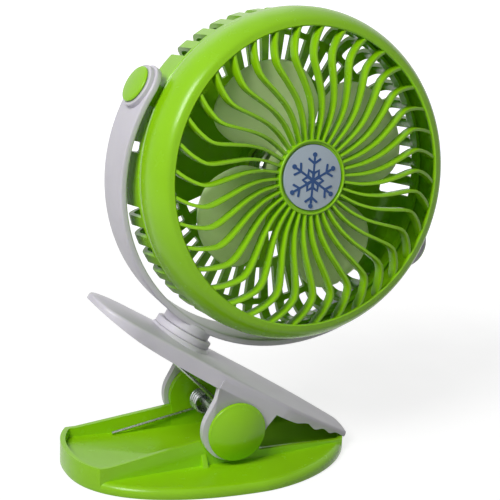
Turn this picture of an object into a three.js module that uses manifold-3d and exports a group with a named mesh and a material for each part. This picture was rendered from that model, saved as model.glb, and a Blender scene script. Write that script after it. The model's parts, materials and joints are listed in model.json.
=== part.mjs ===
// A small clip-on fan: a caged fan head that tilts in a yoke, which turns on a spring clip.
// Millimetres, +Z up. The origin is on the table, straight below the clip's hinge pin.
// The clip's mouth points along +X, and the fan blows towards -Y.
import * as THREE from 'three';
import { mergeVertices } from 'three/addons/utils/BufferGeometryUtils.js';
import Module from 'manifold-3d';

const wasm = await Module();
wasm.setup();

// Driving sizes

const seatGap = 0.3; // between pieces that touch
const shaftGap = 0.15; // round a pin or shaft that turns
const cutOver = 1; // how far a cut runs past the face it opens

const clip = {
  hingeHeight: 21, // centre of the hinge pin above the table
  slopeDegrees: 32, // the upper jaw falls this much towards its mouth
  pinRadius: 2,
  earThick: 3.2, // ear of the upper jaw
  lowerEarThick: 2.7, // ear of the lower jaw, inside the upper one
  lowerEarOuter: 21.7, // outer face of the lower jaw's ear, from the middle
};
const upperEarInner = clip.lowerEarOuter + seatGap;
const upperEarOuter = upperEarInner + clip.earThick;

const base = {
  tipReach: 62,
  handleReach: 70,
  halfWidth: 46,
  widestAt: 4.5,
  thick: 5,
  edgeRound: 3,
  footEdge: 0.6,
  rimWall: 2.4,
  underDepth: 2.2, // depth of the pockets in the underside
  ribWidth: 12, // solid band under the hinge
  tubFloor: 3.9, // towards the mouth
  handleFloor: 7, // the tub's floor behind the hinge
  floorStep: 5, // the mouth's floor begins this far past the hinge
  tubWall: 2.3,
  tubHalfEnd: 24, // half width of the tub at its far corners
  tubEndInset: 12.5, // the side walls meet the rounded end this far before the handle end
  tubRimEnd: 11.2, // rim height at the rounded end
  tubRimEar: 17.2, // rim height where the walls meet the ears
  tubEarX: 13.5,
  channelTopEar: 8.8,
  channelTopTip: 5.6,
  gussetReach: 3.2,
  gussetHigh: 4.8,
  gussetThick: 1.6,
};
const handleRoundness = 2.3; // exponents of the base's egg-shaped outline
const tipRoundness = 1.81;
const outlineSteps = 36;

const earRadius = 14.4; // round part of the upper jaw's ears

const jaw = {
  handleEnd: 83, // along the slope, from the hinge
  tipEnd: 55,
  side: 20.4, // crease between the top and the side wall, above the pin
  crown: 1.8, // how far the middle of the top stands above that crease
  wall: 2.2,
  tipHalf: 17,
  handleHalf: 20,
  earShift: 1.6, // the ear's round part stands this far behind the pin
  earFlare: 2.4, // how far the ear's root spreads beyond its round part
  bossRadius: 14.6,
  bossSkirt: 1.1, // straight part of the boss above the crease
  bossRise: 2.8, // top of the boss above the crease
};
const jawBossTop = jaw.side + jaw.bossRise;

const neck = {
  along: -34.5, // the swivel axis, along the slope from the hinge
  collarRadius: 13.3,
  collarThick: 2.8,
  collarEdge: 0.7,
  footRadius: 11.2,
  footThick: 4.7,
  footDrop: 2.9, // the foot reaches this far below the yoke's band
  postRadius: 5,
  washerRadius: 9.5,
  washerThick: 1,
  screwRadius: 1.5,
  screwHeadRadius: 3.4,
  screwHead: 2,
  screwBite: 7,
};

const yoke = {
  headClearance: 3, // round the head's ring
  thick: 3,
  width: 21,
  padRadius: 9.6,
  padThick: 2,
  capRadius: 8.3,
  capThick: 1.7,
  capDome: 0.6,
};
const tiltDegrees = 10; // the head leans back by this much

const ring = {
  outerRadius: 72,
  lipWide: 7.5, // from the outside in to the lip
  depth: 21.6,
  wall: 2,
};
const ringLip = ring.outerRadius - ring.lipWide;
const yokeOuter = ring.outerRadius + yoke.headClearance + yoke.thick;
const pivotBehind = 4; // the tilt axis crosses the head this far behind the ring's rear edge
// The head's tilt axis above the hinge pin, square to the slope.
const headHeight = jawBossTop + neck.collarThick + seatGap * 2 + neck.footDrop + yokeOuter;

const hub = {
  radius: 16.2,
  rise: 2.1, // the hub's front stands this far above the ring's lip
  thick: 3.6,
  lip: 1, // raised edge
  groove: 1.2, // between the lip and the badge
  badgeThick: 1.5,
  badgeDome: 0.4,
};
const hubFront = ring.depth + hub.rise;
const badgeSeatRadius = hub.radius - hub.lip;
const badgeRadius = badgeSeatRadius - hub.groove;

const bars = {
  hubWide: 1.1,
  rimWide: 1.5,
  hubDeep: 2.6,
  rimDeep: 5.4,
  hubBite: 1.4, // how far each bar runs into the hub plate
  lipBite: 2.1, // and past the ring's lip
};
const barCount = 36;
const barStart = hub.radius - bars.hubBite;
const barEnd = ringLip + bars.lipBite;
// Along each bar: share of its length, turn in degrees, and height as a share of the ring's depth.
const barLengthShares = [0, 0.247, 0.455, 0.662, 0.831, 1];
const barTurnDegrees = [0.5, -0.9, -5.4, -10, -8.4, -2.4];
const barHeightShares = [1.06, 1.175, 1.25, 1.245, 1.12, 0.92];

const cage = {
  inset: 1.5, // inside the ring's widest circle
  wall: 2.3,
  sideDepth: 12.5, // straight part of the side wall
  depth: 20.3,
  cornerWide: 9.5, // rounded corner between side and face
  spigotReach: 3.4,
  spigotThick: 1.3,
  windowMargin: 1.6,
  hoopWide: 2.6,
};
const cageOuter = ring.outerRadius - cage.inset;
const cageFace = cageOuter - cage.cornerWide;
const cageRibCount = 48;
const windowShare = 0.56; // share of each rib pitch that is open
// Rows of openings in the face: inner and outer radius as shares of its radius, and their number.
const windowInnerShares = [0.48, 0.74];
const windowOuterShares = [0.68, 0.97];
const windowCounts = [24, 48];
const panelDegrees = 241; // a closed stretch of the side wall
const panelHalfDegrees = 6;
const cornerShares = [0, 0.5, 1]; // points of a quarter round
const bluntShare = 0.3; // middle point of a small rounding, as a share of its radius from either side

const pivot = {
  bossRadius: 5,
  bossInset: 7.2, // inwards from the cage's wall
  pinRadius: 2.4,
  pinHeadRadius: 5,
  pinHead: 1.2,
  headSink: 1.7, // depth of the pin head's seat in the yoke's pad
  holeFloor: 2, // the pin's hole starts this far along its boss
  washerThick: 1,
  washerRadius: 6,
};
const pivotBossInner = cageOuter - cage.wall - pivot.bossInset;

const motor = {
  radius: 12,
  wall: 0.9,
  length: 16.5,
  capThick: 2.2,
  noseRadius: 3.4,
  noseReach: 1.6,
  bushingRadius: 2.4,
  shaftRadius: 1,
  armatureRadius: 8.6,
  armatureLength: 8,
  slotWidth: 2,
  magnetThick: 1.6,
  magnetLength: 11,
  mountWall: 1.8,
  mountHeight: 7,
  screwAside: 6.5,
  screwDown: 5,
  screwLength: 4.6,
};
const armaturePoleCount = 3;
const magnetHalfDegrees = 58;

const blades = {
  tipClearance: 11.5, // inside the ring's lip
  hubRadius: 13.6,
  hubDepth: 11,
  hubWall: 1.6,
  hubEdge: 2.2,
  clearance: 2.8, // from the grille's hub plate to the front of the wheel
  bossRadius: 3.2,
  bossCover: 1.9, // solid front of the boss, over the shaft's end
  thick: 1.4,
  rise: 12.5, // from trailing edge to leading edge, along the axis
};
const bladeTip = ringLip - blades.tipClearance;
const bladesFront = hubFront - hub.thick - blades.clearance;
const shaftEnd = bladesFront - blades.hubWall - blades.bossCover;
const bladeCount = 4;
const bladeFirstDegrees = -50; // clockwise from the top
// Along each blade, from hub to tip: share of its length, half its spread and its sweep, in degrees.
const bladeLengthShares = [0, 0.16, 0.42, 0.68, 0.86, 0.96, 1];
const bladeSpreadDegrees = [24, 31, 37, 33, 26, 16, 6];
const bladeSweepDegrees = [0, -1, -5, -8, -9, -9, -8];
const bladeColumnShares = [-1, -0.5, 0, 0.5, 1];

const pod = {
  halfHeight: 20,
  wall: 2.4,
  corner: 7,
  edge: 1.5,
  room: 0.5, // between the walls and what they hold, up and down
  earOut: 3, // screw ears beyond the ends
  earUp: 12.5,
  earRadius: 4,
  earThick: 2.5,
  doorThick: 1.2,
  doorRoom: 0.65, // past each end of the cell
  doorCorner: 2.4,
  ledge: 1.4,
  tabInset: 11, // from the door's end
  tabDrop: 2.2,
  tabRadius: 3.6,
};
const cell = {
  radius: 9.1,
  length: 65,
  clearance: 0.95, // in front and behind
  springRoom: 5.4,
  nubRadius: 3,
  nubLength: 0.9,
  edge: 0.8,
  springRadius: 3.2,
  springWire: 0.8,
  contactThick: 0.5,
  contactSide: 9,
};
const cellSpringTurnCount = 3;
const cellSpace = seatGap + cell.nubLength + cell.length + cell.springRoom;
const podHalfLength = pod.wall + seatGap + cell.contactThick + cellSpace / 2;
const podDepth = pod.wall + (cell.radius + cell.clearance) * 2;
const earAside = podHalfLength + pod.earOut;
const doorLength = cell.length + cell.nubLength + (pod.ledge + pod.doorRoom) * 2;
const doorHeight = (cell.radius + pod.ledge + seatGap) * 2;
const doorUp = pod.halfHeight - pod.wall - pod.room - cell.radius;

const board = {
  length: 36,
  height: 13,
  thick: 1.2,
  aside: -6, // its middle, to the right of the head's axis
  postRadius: 1.8,
  postAside: 15,
};
const boardDown = pod.halfHeight - pod.wall - pod.room - board.height / 2;
const button = {
  radius: 4.2,
  proud: 1.3,
  travel: 0.8,
  flange: 0.9,
  flangeThick: 0.9,
  dome: 0.3,
};
const small = {
  switchSide: 6,
  switchHeight: 2.6,
  socketWide: 7.6,
  socketHigh: 2.7,
  socketDeep: 5.4,
  socketWall: 0.5,
  socketAside: -11, // from the middle of the board
  lensRadius: 1.5,
  lensProud: 0.3,
  lensFlange: 0.7,
  lensAside: 11, // from the middle of the board
  screwRadius: 1.2,
  screwHeadRadius: 2.3,
  screwHead: 1.2,
  screwLength: 7,
  screwRoom: 1, // past the screw's end
};
const screwBossShare = 2.4; // radius of a screw's boss, as a share of the screw's

const spring = {
  wire: 1.3,
  coilRadius: 4.6, // to the middle of the wire
  coilDrop: 1.2, // the coil hangs this far below the pin's centre
  pitch: 1.85,
  endInset: 1, // outer end of each coil, inside the ears, where the leg starts
  bridgeReach: 13.6,
  legReach: 42,
  bendRadius: 1.8,
};
const bridgeDegrees = 118; // where the bridge stands, turned up from the mouth side
const springTurnCount = 4;
const springSides = 5;
const springTurnSteps = 8;

const dome = { inset: 1, height: 5.4, rim: 1.2, stub: 3.4 }; // green cap over the hinge
const domeRadius = earRadius - dome.inset;

const roundSides = 24;
const smallSides = 10;
const hoopSides = 48;
const domeSteps = 3;
const cornerSteps = 3;

// Materials

function plastic(colour, roughness) {
  return new THREE.MeshStandardMaterial({ color: colour, roughness, metalness: 0 });
}

function metal(colour, roughness) {
  return new THREE.MeshStandardMaterial({ color: colour, roughness, metalness: 1 });
}

const green = () => plastic(0x8cc820, 0.3);
const white = () => plastic(0xd8d6da, 0.35);
const steel = () => metal(0xb8bcc0, 0.35);
const brass = () => metal(0xc9a24a, 0.35);

// Solids: closed shapes that can be joined and cut

function closedSurface(geometry) {
  const bare = geometry.index ? geometry.toNonIndexed() : geometry.clone();
  bare.deleteAttribute('normal');
  bare.deleteAttribute('uv');
  return mergeVertices(bare, 1e-5);
}

function signedVolume(places, corners) {
  let sum = 0;
  const [a, b, c] = [new THREE.Vector3(), new THREE.Vector3(), new THREE.Vector3()];
  for (let i = 0; i < corners.length; i += 3) {
    a.fromArray(places, corners[i] * 3);
    b.fromArray(places, corners[i + 1] * 3);
    c.fromArray(places, corners[i + 2] * 3);
    sum += a.dot(b.cross(c)) / 6;
  }
  return sum;
}

function solid(geometry) {
  const merged = closedSurface(geometry);
  const places = Float32Array.from(merged.attributes.position.array);
  const corners = [];
  const index = merged.index.array;
  for (let i = 0; i < index.length; i += 3) {
    const [a, b, c] = [index[i], index[i + 1], index[i + 2]];
    if (a !== b && b !== c && a !== c) corners.push(a, b, c);
  }
  if (signedVolume(places, corners) < 0) corners.reverse();
  const mesh = new wasm.Mesh({
    numProp: 3,
    vertProperties: places,
    triVerts: Uint32Array.from(corners),
  });
  return new wasm.Manifold(mesh);
}

function joinAll(solids) {
  return solids.reduce((whole, next) => whole.add(next));
}

function placed(shape, matrix) {
  return shape.transform(matrix.elements.slice());
}

const turnX = (angle) => new THREE.Matrix4().makeRotationX(angle);
const turnY = (angle) => new THREE.Matrix4().makeRotationY(angle);
const turnZ = (angle) => new THREE.Matrix4().makeRotationZ(angle);
const shift = (x, y, z) => new THREE.Matrix4().makeTranslation(x, y, z);
const radians = THREE.MathUtils.degToRad;

// Turned about Z: the profile is a list of [radius, height] that closes on itself or on the axis.
function turned(profile, sides = roundSides) {
  const points = profile.map(([radius, height]) => new THREE.Vector2(radius, height));
  if (profile[0][0] > 0) points.push(points[0].clone());
  return placed(solid(new THREE.LatheGeometry(points, sides)), turnX(Math.PI / 2));
}

function rod(radius, from, to, sides = smallSides) {
  return turned([[0, from], [radius, from], [radius, to], [0, to]], sides);
}

function tube(outer, inner, from, to, sides = smallSides) {
  return turned([[inner, from], [outer, from], [outer, to], [inner, to]], sides);
}

// A flat outline of [x, y] points, raised from one height to another.
function prism(outline, from, to) {
  const shape = new THREE.Shape(outline.map(([x, y]) => new THREE.Vector2(x, y)));
  const geometry = new THREE.ExtrudeGeometry(shape, { depth: to - from, bevelEnabled: false });
  return placed(solid(geometry), shift(0, 0, from));
}

function block(wide, deep, high, x, y, z) {
  return placed(solid(new THREE.BoxGeometry(wide, deep, high)), shift(x, y, z));
}

// Stands a flat outline of [x, z] points up, running through Y from one side to the other.
function sidePrism(outline, from, to) {
  return placed(prism(outline, -to, -from), turnX(Math.PI / 2));
}

function alongX(shape) {
  return placed(shape, turnY(Math.PI / 2));
}

function alongY(shape) {
  return placed(shape, turnX(-Math.PI / 2));
}

// A skin through rings of points with flat, convex ends.
function loft(rings) {
  const count = rings[0].length;
  const places = rings.flat().flatMap((p) => [p.x, p.y, p.z]);
  const corners = [];
  for (let r = 0; r + 1 < rings.length; r += 1) {
    for (let i = 0; i < count; i += 1) {
      const a = r * count + i;
      const b = r * count + ((i + 1) % count);
      corners.push(a, b, b + count, a, b + count, a + count);
    }
  }
  const last = (rings.length - 1) * count;
  for (let i = 1; i + 1 < count; i += 1) {
    corners.push(0, i + 1, i);
    corners.push(last, last + i, last + i + 1);
  }
  const geometry = new THREE.BufferGeometry();
  geometry.setAttribute('position', new THREE.Float32BufferAttribute(places, 3));
  geometry.setIndex(corners);
  return solid(geometry);
}

function piece(name, material, shape) {
  const data = shape.getMesh();
  const geometry = new THREE.BufferGeometry();
  geometry.setAttribute('position', new THREE.BufferAttribute(data.vertProperties, 3));
  geometry.setIndex(new THREE.BufferAttribute(data.triVerts, 1));
  const flat = geometry.toNonIndexed();
  flat.computeVertexNormals();
  const mesh = new THREE.Mesh(flat, material);
  mesh.name = name;
  return mesh;
}

// Lower jaw, which is the base

// The base's egg-shaped outline, drawn in by an inset.
function baseOutline(inset) {
  const points = [];
  for (let i = 0; i < outlineSteps; i += 1) {
    const angle = ((i + 0.5) / outlineSteps) * 2 * Math.PI;
    const [c, s] = [Math.cos(angle), Math.sin(angle)];
    const power = 2 / (c < 0 ? handleRoundness : tipRoundness);
    const full = c < 0 ? base.handleReach + base.widestAt : base.tipReach - base.widestAt;
    const x = base.widestAt + Math.sign(c) * (full - inset) * Math.abs(c) ** power;
    const y = Math.sign(s) * (base.halfWidth - inset) * Math.abs(s) ** power;
    points.push([x, y]);
  }
  return points;
}

function baseRing(inset, height) {
  return baseOutline(inset).map(([x, y]) => new THREE.Vector3(x, y, height));
}

function baseWing() {
  const upper = cornerShares.map((share) => {
    const angle = share * (Math.PI / 2);
    return baseRing(
      base.edgeRound * (1 - Math.cos(angle)),
      base.thick - base.edgeRound * (1 - Math.sin(angle)),
    );
  });
  return loft([baseRing(base.footEdge, 0), baseRing(0, base.footEdge), ...upper]);
}

const tubCorner = base.handleReach - base.tubEndInset;

// The plan of the tub and of the channel towards the mouth, drawn in by an inset.
function tubPlan(inset) {
  const half = [
    [-base.handleReach - cutOver, base.tubHalfEnd],
    [-tubCorner, base.tubHalfEnd],
    [-base.tubEarX, clip.lowerEarOuter],
    [base.tubEarX, clip.lowerEarOuter],
    [base.tipReach + cutOver, jaw.tipHalf],
  ].map(([x, y]) => [x, y - inset]);
  return [...half, ...half.map(([x, y]) => [x, -y]).reverse()];
}

// The height of the tub's rim along the base, as an outline in X and Z.
function rimProfile() {
  return [
    [-base.handleReach - cutOver, 0],
    [base.tipReach + cutOver, 0],
    [base.tipReach + cutOver, base.channelTopTip],
    [base.tubEarX, base.channelTopEar],
    [-base.tubEarX, base.tubRimEar],
    [-tubCorner, base.tubRimEnd],
    [-base.handleReach - cutOver, base.tubRimEnd],
  ];
}

function tubWalls() {
  const wide = base.halfWidth + cutOver;
  return prism(baseOutline(0), base.thick - base.edgeRound, clip.hingeHeight)
    .intersect(prism(tubPlan(0), 0, clip.hingeHeight))
    .intersect(sidePrism(rimProfile(), -wide, wide));
}

// The space above the tub's floor, which steps up behind the hinge, as an outline in X and Z.
function floorProfile(top) {
  const rise = base.handleFloor - base.tubFloor;
  return [
    [-base.handleReach, base.handleFloor],
    [base.floorStep - rise, base.handleFloor],
    [base.floorStep, base.tubFloor],
    [base.tipReach, base.tubFloor],
    [base.tipReach, top],
    [-base.handleReach, top],
  ];
}

// What lies between the tub's walls.
function tubInside(from, to) {
  return prism(baseOutline(base.tubWall), from, to).intersect(prism(tubPlan(base.tubWall), from, to));
}

function tubHollow() {
  const top = clip.hingeHeight * 2;
  return tubInside(0, top).intersect(sidePrism(floorProfile(top), -base.halfWidth, base.halfWidth));
}

function lowerEar(inner, outer) {
  const radius = earRadius - seatGap * 2;
  const outline = [];
  for (let degrees = -20; degrees <= 200; degrees += 11) {
    const angle = radians(degrees);
    outline.push([radius * Math.cos(angle), clip.hingeHeight + radius * Math.sin(angle)]);
  }
  const foot = outline[0][0];
  outline.push([-foot, base.underDepth], [foot, base.underDepth]);
  return sidePrism(outline, inner, outer);
}

function gusset(side) {
  const wall = clip.lowerEarOuter - seatGap;
  const outline = [
    [wall, base.thick],
    [wall + base.gussetReach, base.thick],
    [wall, base.thick + base.gussetHigh],
  ];
  const shape = prism(outline, -base.gussetThick, 0);
  const stood = placed(shape, new THREE.Matrix4().makeBasis(
    new THREE.Vector3(0, side, 0),
    new THREE.Vector3(0, 0, 1),
    new THREE.Vector3(side, 0, 0),
  ));
  return placed(stood, shift(-base.tubEarX - base.gussetThick, 0, 0));
}

function hingeBore(radius) {
  const reach = upperEarOuter + cutOver;
  return placed(alongY(rod(radius, -reach, reach)), shift(0, 0, clip.hingeHeight));
}

// Pockets in the underside, deeper below the tub, on both sides of the rib under the hinge.
function underPockets() {
  const wide = base.halfWidth * 2;
  const pocket = prism(baseOutline(base.rimWall), -cutOver, base.underDepth)
    .subtract(block(base.ribWidth, wide, base.thick, 0, 0, 0));
  const deepTop = base.handleFloor - (base.tubFloor - base.underDepth);
  const deepReach = base.handleReach - base.ribWidth / 2;
  const behind = block(deepReach, wide, deepTop * 2, -(base.ribWidth + deepReach) / 2, 0, 0);
  return pocket.add(tubInside(-cutOver, deepTop).intersect(behind));
}

function lowerJaw() {
  const inner = clip.lowerEarOuter - clip.lowerEarThick;
  const body = baseWing().add(tubWalls()).subtract(tubHollow());
  return joinAll([
    body,
    lowerEar(inner, clip.lowerEarOuter),
    lowerEar(-clip.lowerEarOuter, -inner),
    gusset(1),
    gusset(-1),
  ])
    .subtract(hingeBore(clip.pinRadius + shaftGap))
    .subtract(underPockets());
}

function hingePin() {
  const reach = upperEarOuter - seatGap;
  return placed(alongY(rod(clip.pinRadius, -reach, reach)), shift(0, 0, clip.hingeHeight));
}

// Torsion spring: one wire, two coils round the pin, a bridge between their inner ends, and two legs

// A point of the spring: turned up from the mouth side by an angle about the coil's centre.
function springPoint(radius, angle, y) {
  const centre = clip.hingeHeight - spring.coilDrop;
  return new THREE.Vector3(radius * Math.cos(angle), y, centre + radius * Math.sin(angle));
}

function springPath() {
  const centre = clip.hingeHeight - spring.coilDrop;
  const legHeight = base.handleFloor + seatGap + spring.wire / 2;
  const bridgeX = spring.bridgeReach * Math.cos(radians(bridgeDegrees));
  const bridgeUp = spring.bridgeReach * Math.sin(radians(bridgeDegrees)) + spring.coilDrop;
  const legUp = legHeight - centre;
  const legAngle = Math.atan2(legUp, -spring.legReach) + 2 * Math.PI;
  const legTouch = legAngle + Math.acos(spring.coilRadius / Math.hypot(spring.legReach, legUp));
  const bridgeAngle = Math.atan2(bridgeUp, bridgeX) + 2 * Math.PI;
  const bridgeTouch = bridgeAngle - Math.acos(spring.coilRadius / Math.hypot(bridgeX, bridgeUp));
  const swept = bridgeTouch - legTouch + 2 * Math.PI * springTurnCount;
  const outer = clip.lowerEarOuter - clip.lowerEarThick - spring.endInset;
  const inner = outer - (swept / (2 * Math.PI)) * spring.pitch;
  const half = [new THREE.Vector3(-spring.legReach, outer, legHeight)];
  const steps = Math.round((swept / (2 * Math.PI)) * springTurnSteps);
  for (let i = 0; i <= steps; i += 1) {
    const share = i / steps;
    const y = outer + (inner - outer) * share;
    half.push(springPoint(spring.coilRadius, legTouch + swept * share, y));
  }
  const corner = new THREE.Vector3(bridgeX, inner, centre + bridgeUp);
  const before = corner.clone().sub(half[half.length - 1]).normalize();
  half.push(corner.clone().addScaledVector(before, -spring.bendRadius));
  half.push(corner.clone().addScaledVector(before, -spring.bendRadius * bluntShare)
    .add(new THREE.Vector3(0, -spring.bendRadius * bluntShare, 0)));
  half.push(corner.clone().add(new THREE.Vector3(0, -spring.bendRadius, 0)));
  const mirrored = half.map((p) => new THREE.Vector3(p.x, -p.y, p.z)).reverse();
  return [...half, ...mirrored];
}

// A round section carried along a path without twist.
function wireRings(path, radius, sides) {
  const rings = [];
  let across = new THREE.Vector3(0, 1, 0);
  path.forEach((place, i) => {
    const next = path[Math.min(i + 1, path.length - 1)];
    const last = path[Math.max(i - 1, 0)];
    const ahead = next.clone().sub(last).normalize();
    across = across.clone().addScaledVector(ahead, -across.dot(ahead)).normalize();
    const up = ahead.clone().cross(across);
    const ringPoints = [];
    for (let k = 0; k < sides; k += 1) {
      const angle = (k / sides) * 2 * Math.PI;
      ringPoints.push(place.clone()
        .addScaledVector(across, radius * Math.cos(angle))
        .addScaledVector(up, radius * Math.sin(angle)));
    }
    rings.push(ringPoints);
  });
  return rings;
}

// The least gap between turns, measured on points that aren't neighbours along the wire.
function leastGap(path, wire, apart) {
  let least = Infinity;
  path.forEach((a, i) => {
    path.slice(i + apart).forEach((b) => {
      least = Math.min(least, a.distanceTo(b) - wire);
    });
  });
  return least;
}

function torsionSpring() {
  const path = springPath();
  const gap = leastGap(path, spring.wire, springTurnSteps - 1);
  console.log(`least gap in the torsion spring: ${gap.toFixed(2)} mm`);
  return loft(wireRings(path, spring.wire / 2, springSides));
}

// Upper jaw, drawn with X along its slope towards the mouth, Z square to it, from the hinge

// Stations along the jaw as shares of its two ends, with the lower edge as a share of the crease.
const handleShares = [1, 0.985, 0.955, 0.9, 0.82, 0.72, 0.54, 0.36, 0.24];
const handleLowShares = [0.9, 0.87, 0.84, 0.8, 0.75, 0.7, 0.66, 0.645, 0.64];
const tipShares = [0.3, 0.4, 0.485, 0.59, 0.696, 0.785, 0.885, 0.942, 1];
const tipLowShares = [0.64, 0.65, 0.67, 0.77, 0.71, 0.81, 0.78, 0.865, 0.848];
const handleBendShare = 0.72; // the handle's end starts to round here
const handleEndShare = 0.3; // width left at the handle's end
const crownSideShare = 0.62; // a point of the crowned top: how far aside, and how high
const crownRiseShare = 0.7;
// The root of the ear, before and behind: shares of its flare, and of the crease's height.
const earFrontShares = [[0, 0.4], [0.4, 0.68], [0.4, 0.85]];
const earRearShares = [[1, 0.85], [1, 0.66], [0.2, 0.4]];

function jawHalfWidth(along) {
  const wide = upperEarOuter;
  const earEnd = earRadius + jaw.earFlare;
  if (along >= 0) {
    const share = Math.max(0, (along - earEnd) / (jaw.tipEnd - earEnd));
    return wide + (jaw.tipHalf - wide) * share;
  }
  const bend = jaw.handleEnd * handleBendShare;
  if (-along <= bend) {
    const share = Math.max(0, (-along - earEnd) / (bend - earEnd));
    return wide + (jaw.handleHalf - wide) * share;
  }
  const past = Math.min(1, (-along - bend) / (jaw.handleEnd - bend));
  return jaw.handleHalf * Math.max(handleEndShare, Math.sqrt(1 - past * past));
}

function jawSection(along, half, crease, low) {
  const crown = jaw.crown * Math.min(1, half / jaw.handleHalf);
  return [
    [-half, low],
    [-half, crease],
    [-half * crownSideShare, crease + crown * crownRiseShare],
    [0, crease + crown],
    [half * crownSideShare, crease + crown * crownRiseShare],
    [half, crease],
    [half, low],
  ].map(([y, z]) => new THREE.Vector3(along, y, z));
}

function jawStations() {
  const handle = handleShares.map((share, i) => [-share * jaw.handleEnd, handleLowShares[i]]);
  const tip = tipShares.map((share, i) => [share * jaw.tipEnd, tipLowShares[i]]);
  return [...handle, ...tip];
}

function jawShell() {
  const outer = loft(jawStations().map(([along, low]) => (
    jawSection(along, jawHalfWidth(along), jaw.side, low * jaw.side)
  )));
  const inner = loft(jawStations().map(([along]) => {
    const end = along < 0 ? jaw.handleEnd : jaw.tipEnd;
    const drawn = (along * (end - jaw.wall)) / end;
    const half = Math.max(jaw.wall, jawHalfWidth(drawn) - jaw.wall);
    return jawSection(drawn, half, jaw.side - jaw.wall, -jaw.side);
  }));
  return outer.subtract(inner);
}

function upperEar(inner, outer) {
  const outline = [];
  for (let degrees = 180; degrees <= 360; degrees += 12) {
    const angle = radians(degrees);
    outline.push([earRadius * Math.cos(angle) - jaw.earShift, earRadius * Math.sin(angle)]);
  }
  const right = earRadius - jaw.earShift;
  const left = -earRadius - jaw.earShift;
  earFrontShares.forEach(([out, up]) => outline.push([right + jaw.earFlare * out, jaw.side * up]));
  earRearShares.forEach(([out, up]) => outline.push([left - jaw.earFlare * out, jaw.side * up]));
  return sidePrism(outline, inner, outer);
}

function upperJaw() {
  const reach = upperEarOuter + cutOver;
  const boss = turned([
    [0, jaw.side - jaw.wall],
    [jaw.bossRadius, jaw.side - jaw.wall],
    [jaw.bossRadius, jaw.side + jaw.bossSkirt],
    [neck.collarRadius, jawBossTop],
    [0, jawBossTop],
  ]);
  const stubDepth = clip.earThick / 2;
  const capSeats = [
    rod(dome.stub + seatGap, upperEarOuter - stubDepth, reach),
    rod(dome.stub + seatGap, -reach, stubDepth - upperEarOuter),
  ].map(alongY);
  const postHole = rod(neck.postRadius + shaftGap, 0, jawBossTop + cutOver, roundSides);
  return joinAll([
    jawShell(),
    upperEar(upperEarInner, upperEarOuter),
    upperEar(-upperEarOuter, -upperEarInner),
    placed(boss, shift(neck.along, 0, 0)),
  ])
    .subtract(joinAll(capSeats))
    .subtract(alongY(rod(clip.pinRadius + shaftGap, -reach, reach)))
    .subtract(placed(postHole, shift(neck.along, 0, 0)));
}

// A quarter round from a rim up to the middle of a dome, as profile points.
function domeProfile(radius, from, to) {
  const points = [];
  for (let i = 0; i < domeSteps; i += 1) {
    const angle = (i / domeSteps) * (Math.PI / 2);
    points.push([radius * Math.cos(angle), from + (to - from) * Math.sin(angle)]);
  }
  return [...points, [0, to]];
}

// A domed cap that plugs into the ear over the end of the pin.
function hingeCap(side) {
  const seat = upperEarOuter + seatGap;
  const stubEnd = upperEarOuter - clip.earThick / 2 + seatGap;
  const core = clip.pinRadius + seatGap;
  const cap = turned([
    [0, seat],
    [core, seat],
    [core, stubEnd],
    [dome.stub, stubEnd],
    [dome.stub, seat],
    [domeRadius, seat],
    ...domeProfile(domeRadius, seat + dome.rim, seat + dome.height),
  ]);
  return alongY(side > 0 ? cap : placed(cap, turnX(Math.PI)));
}

// A flat ring round the swivel's post, on the boss of the upper jaw.
function swivelCollar() {
  const from = jawBossTop + seatGap;
  const shape = turned([
    [neck.postRadius + seatGap, from],
    [neck.collarRadius - neck.collarEdge, from],
    [neck.collarRadius, from + neck.collarEdge],
    [neck.collarRadius, from + neck.collarThick - neck.collarEdge],
    [neck.collarRadius - neck.collarEdge, from + neck.collarThick],
    [neck.postRadius + seatGap, from + neck.collarThick],
  ]);
  return placed(shape, shift(neck.along, 0, 0));
}

// Yoke, drawn about the head's centre, with X through both pivots and Z up the swivel axis

function bothSides(shape) {
  return shape.add(placed(shape, turnZ(Math.PI)));
}

function yokeArm() {
  const half = yoke.width / 2;
  const inner = yokeOuter - yoke.thick;
  const hoop = alongY(tube(yokeOuter, inner, -half, half, hoopSides));
  const reach = yokeOuter + cutOver;
  const below = block(reach * 2, yoke.width + cutOver, reach, 0, 0, -reach / 2);
  const ends = bothSides(alongX(rod(half, inner / 2, reach, roundSides)));
  return hoop.intersect(below.add(ends));
}

// Heights along the swivel axis, from the head's centre, of what the neck is stacked from.
const footBottom = -yokeOuter - neck.footDrop;
const postEnd = jaw.side - jaw.wall - headHeight;
const washerTop = postEnd - seatGap;
const padFace = yokeOuter + yoke.padThick;

function yokePivotPad() {
  return alongX(rod(yoke.padRadius, yokeOuter - yoke.thick / 2, padFace, roundSides));
}

function yokePivotHole() {
  const inside = yokeOuter - yoke.thick - cutOver;
  const bore = rod(pivot.pinRadius + shaftGap, inside, padFace + cutOver);
  const head = rod(pivot.pinHeadRadius + seatGap, padFace - pivot.headSink, padFace + cutOver);
  return alongX(bore.add(head));
}

function yokeFrame() {
  const foot = rod(neck.footRadius, footBottom, footBottom + neck.footThick, roundSides);
  const post = rod(neck.postRadius, postEnd, footBottom + neck.footThick / 2, roundSides);
  const screwTop = washerTop - neck.washerThick - seatGap + neck.screwBite + cutOver;
  const screwHole = rod(neck.screwRadius + shaftGap, postEnd - cutOver, screwTop, smallSides);
  return joinAll([yokeArm(), bothSides(yokePivotPad()), foot, post])
    .subtract(bothSides(yokePivotHole()))
    .subtract(screwHole);
}

function swivelWasher() {
  const inner = neck.screwRadius + shaftGap;
  return tube(neck.washerRadius, inner, washerTop - neck.washerThick, washerTop, roundSides);
}

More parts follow.
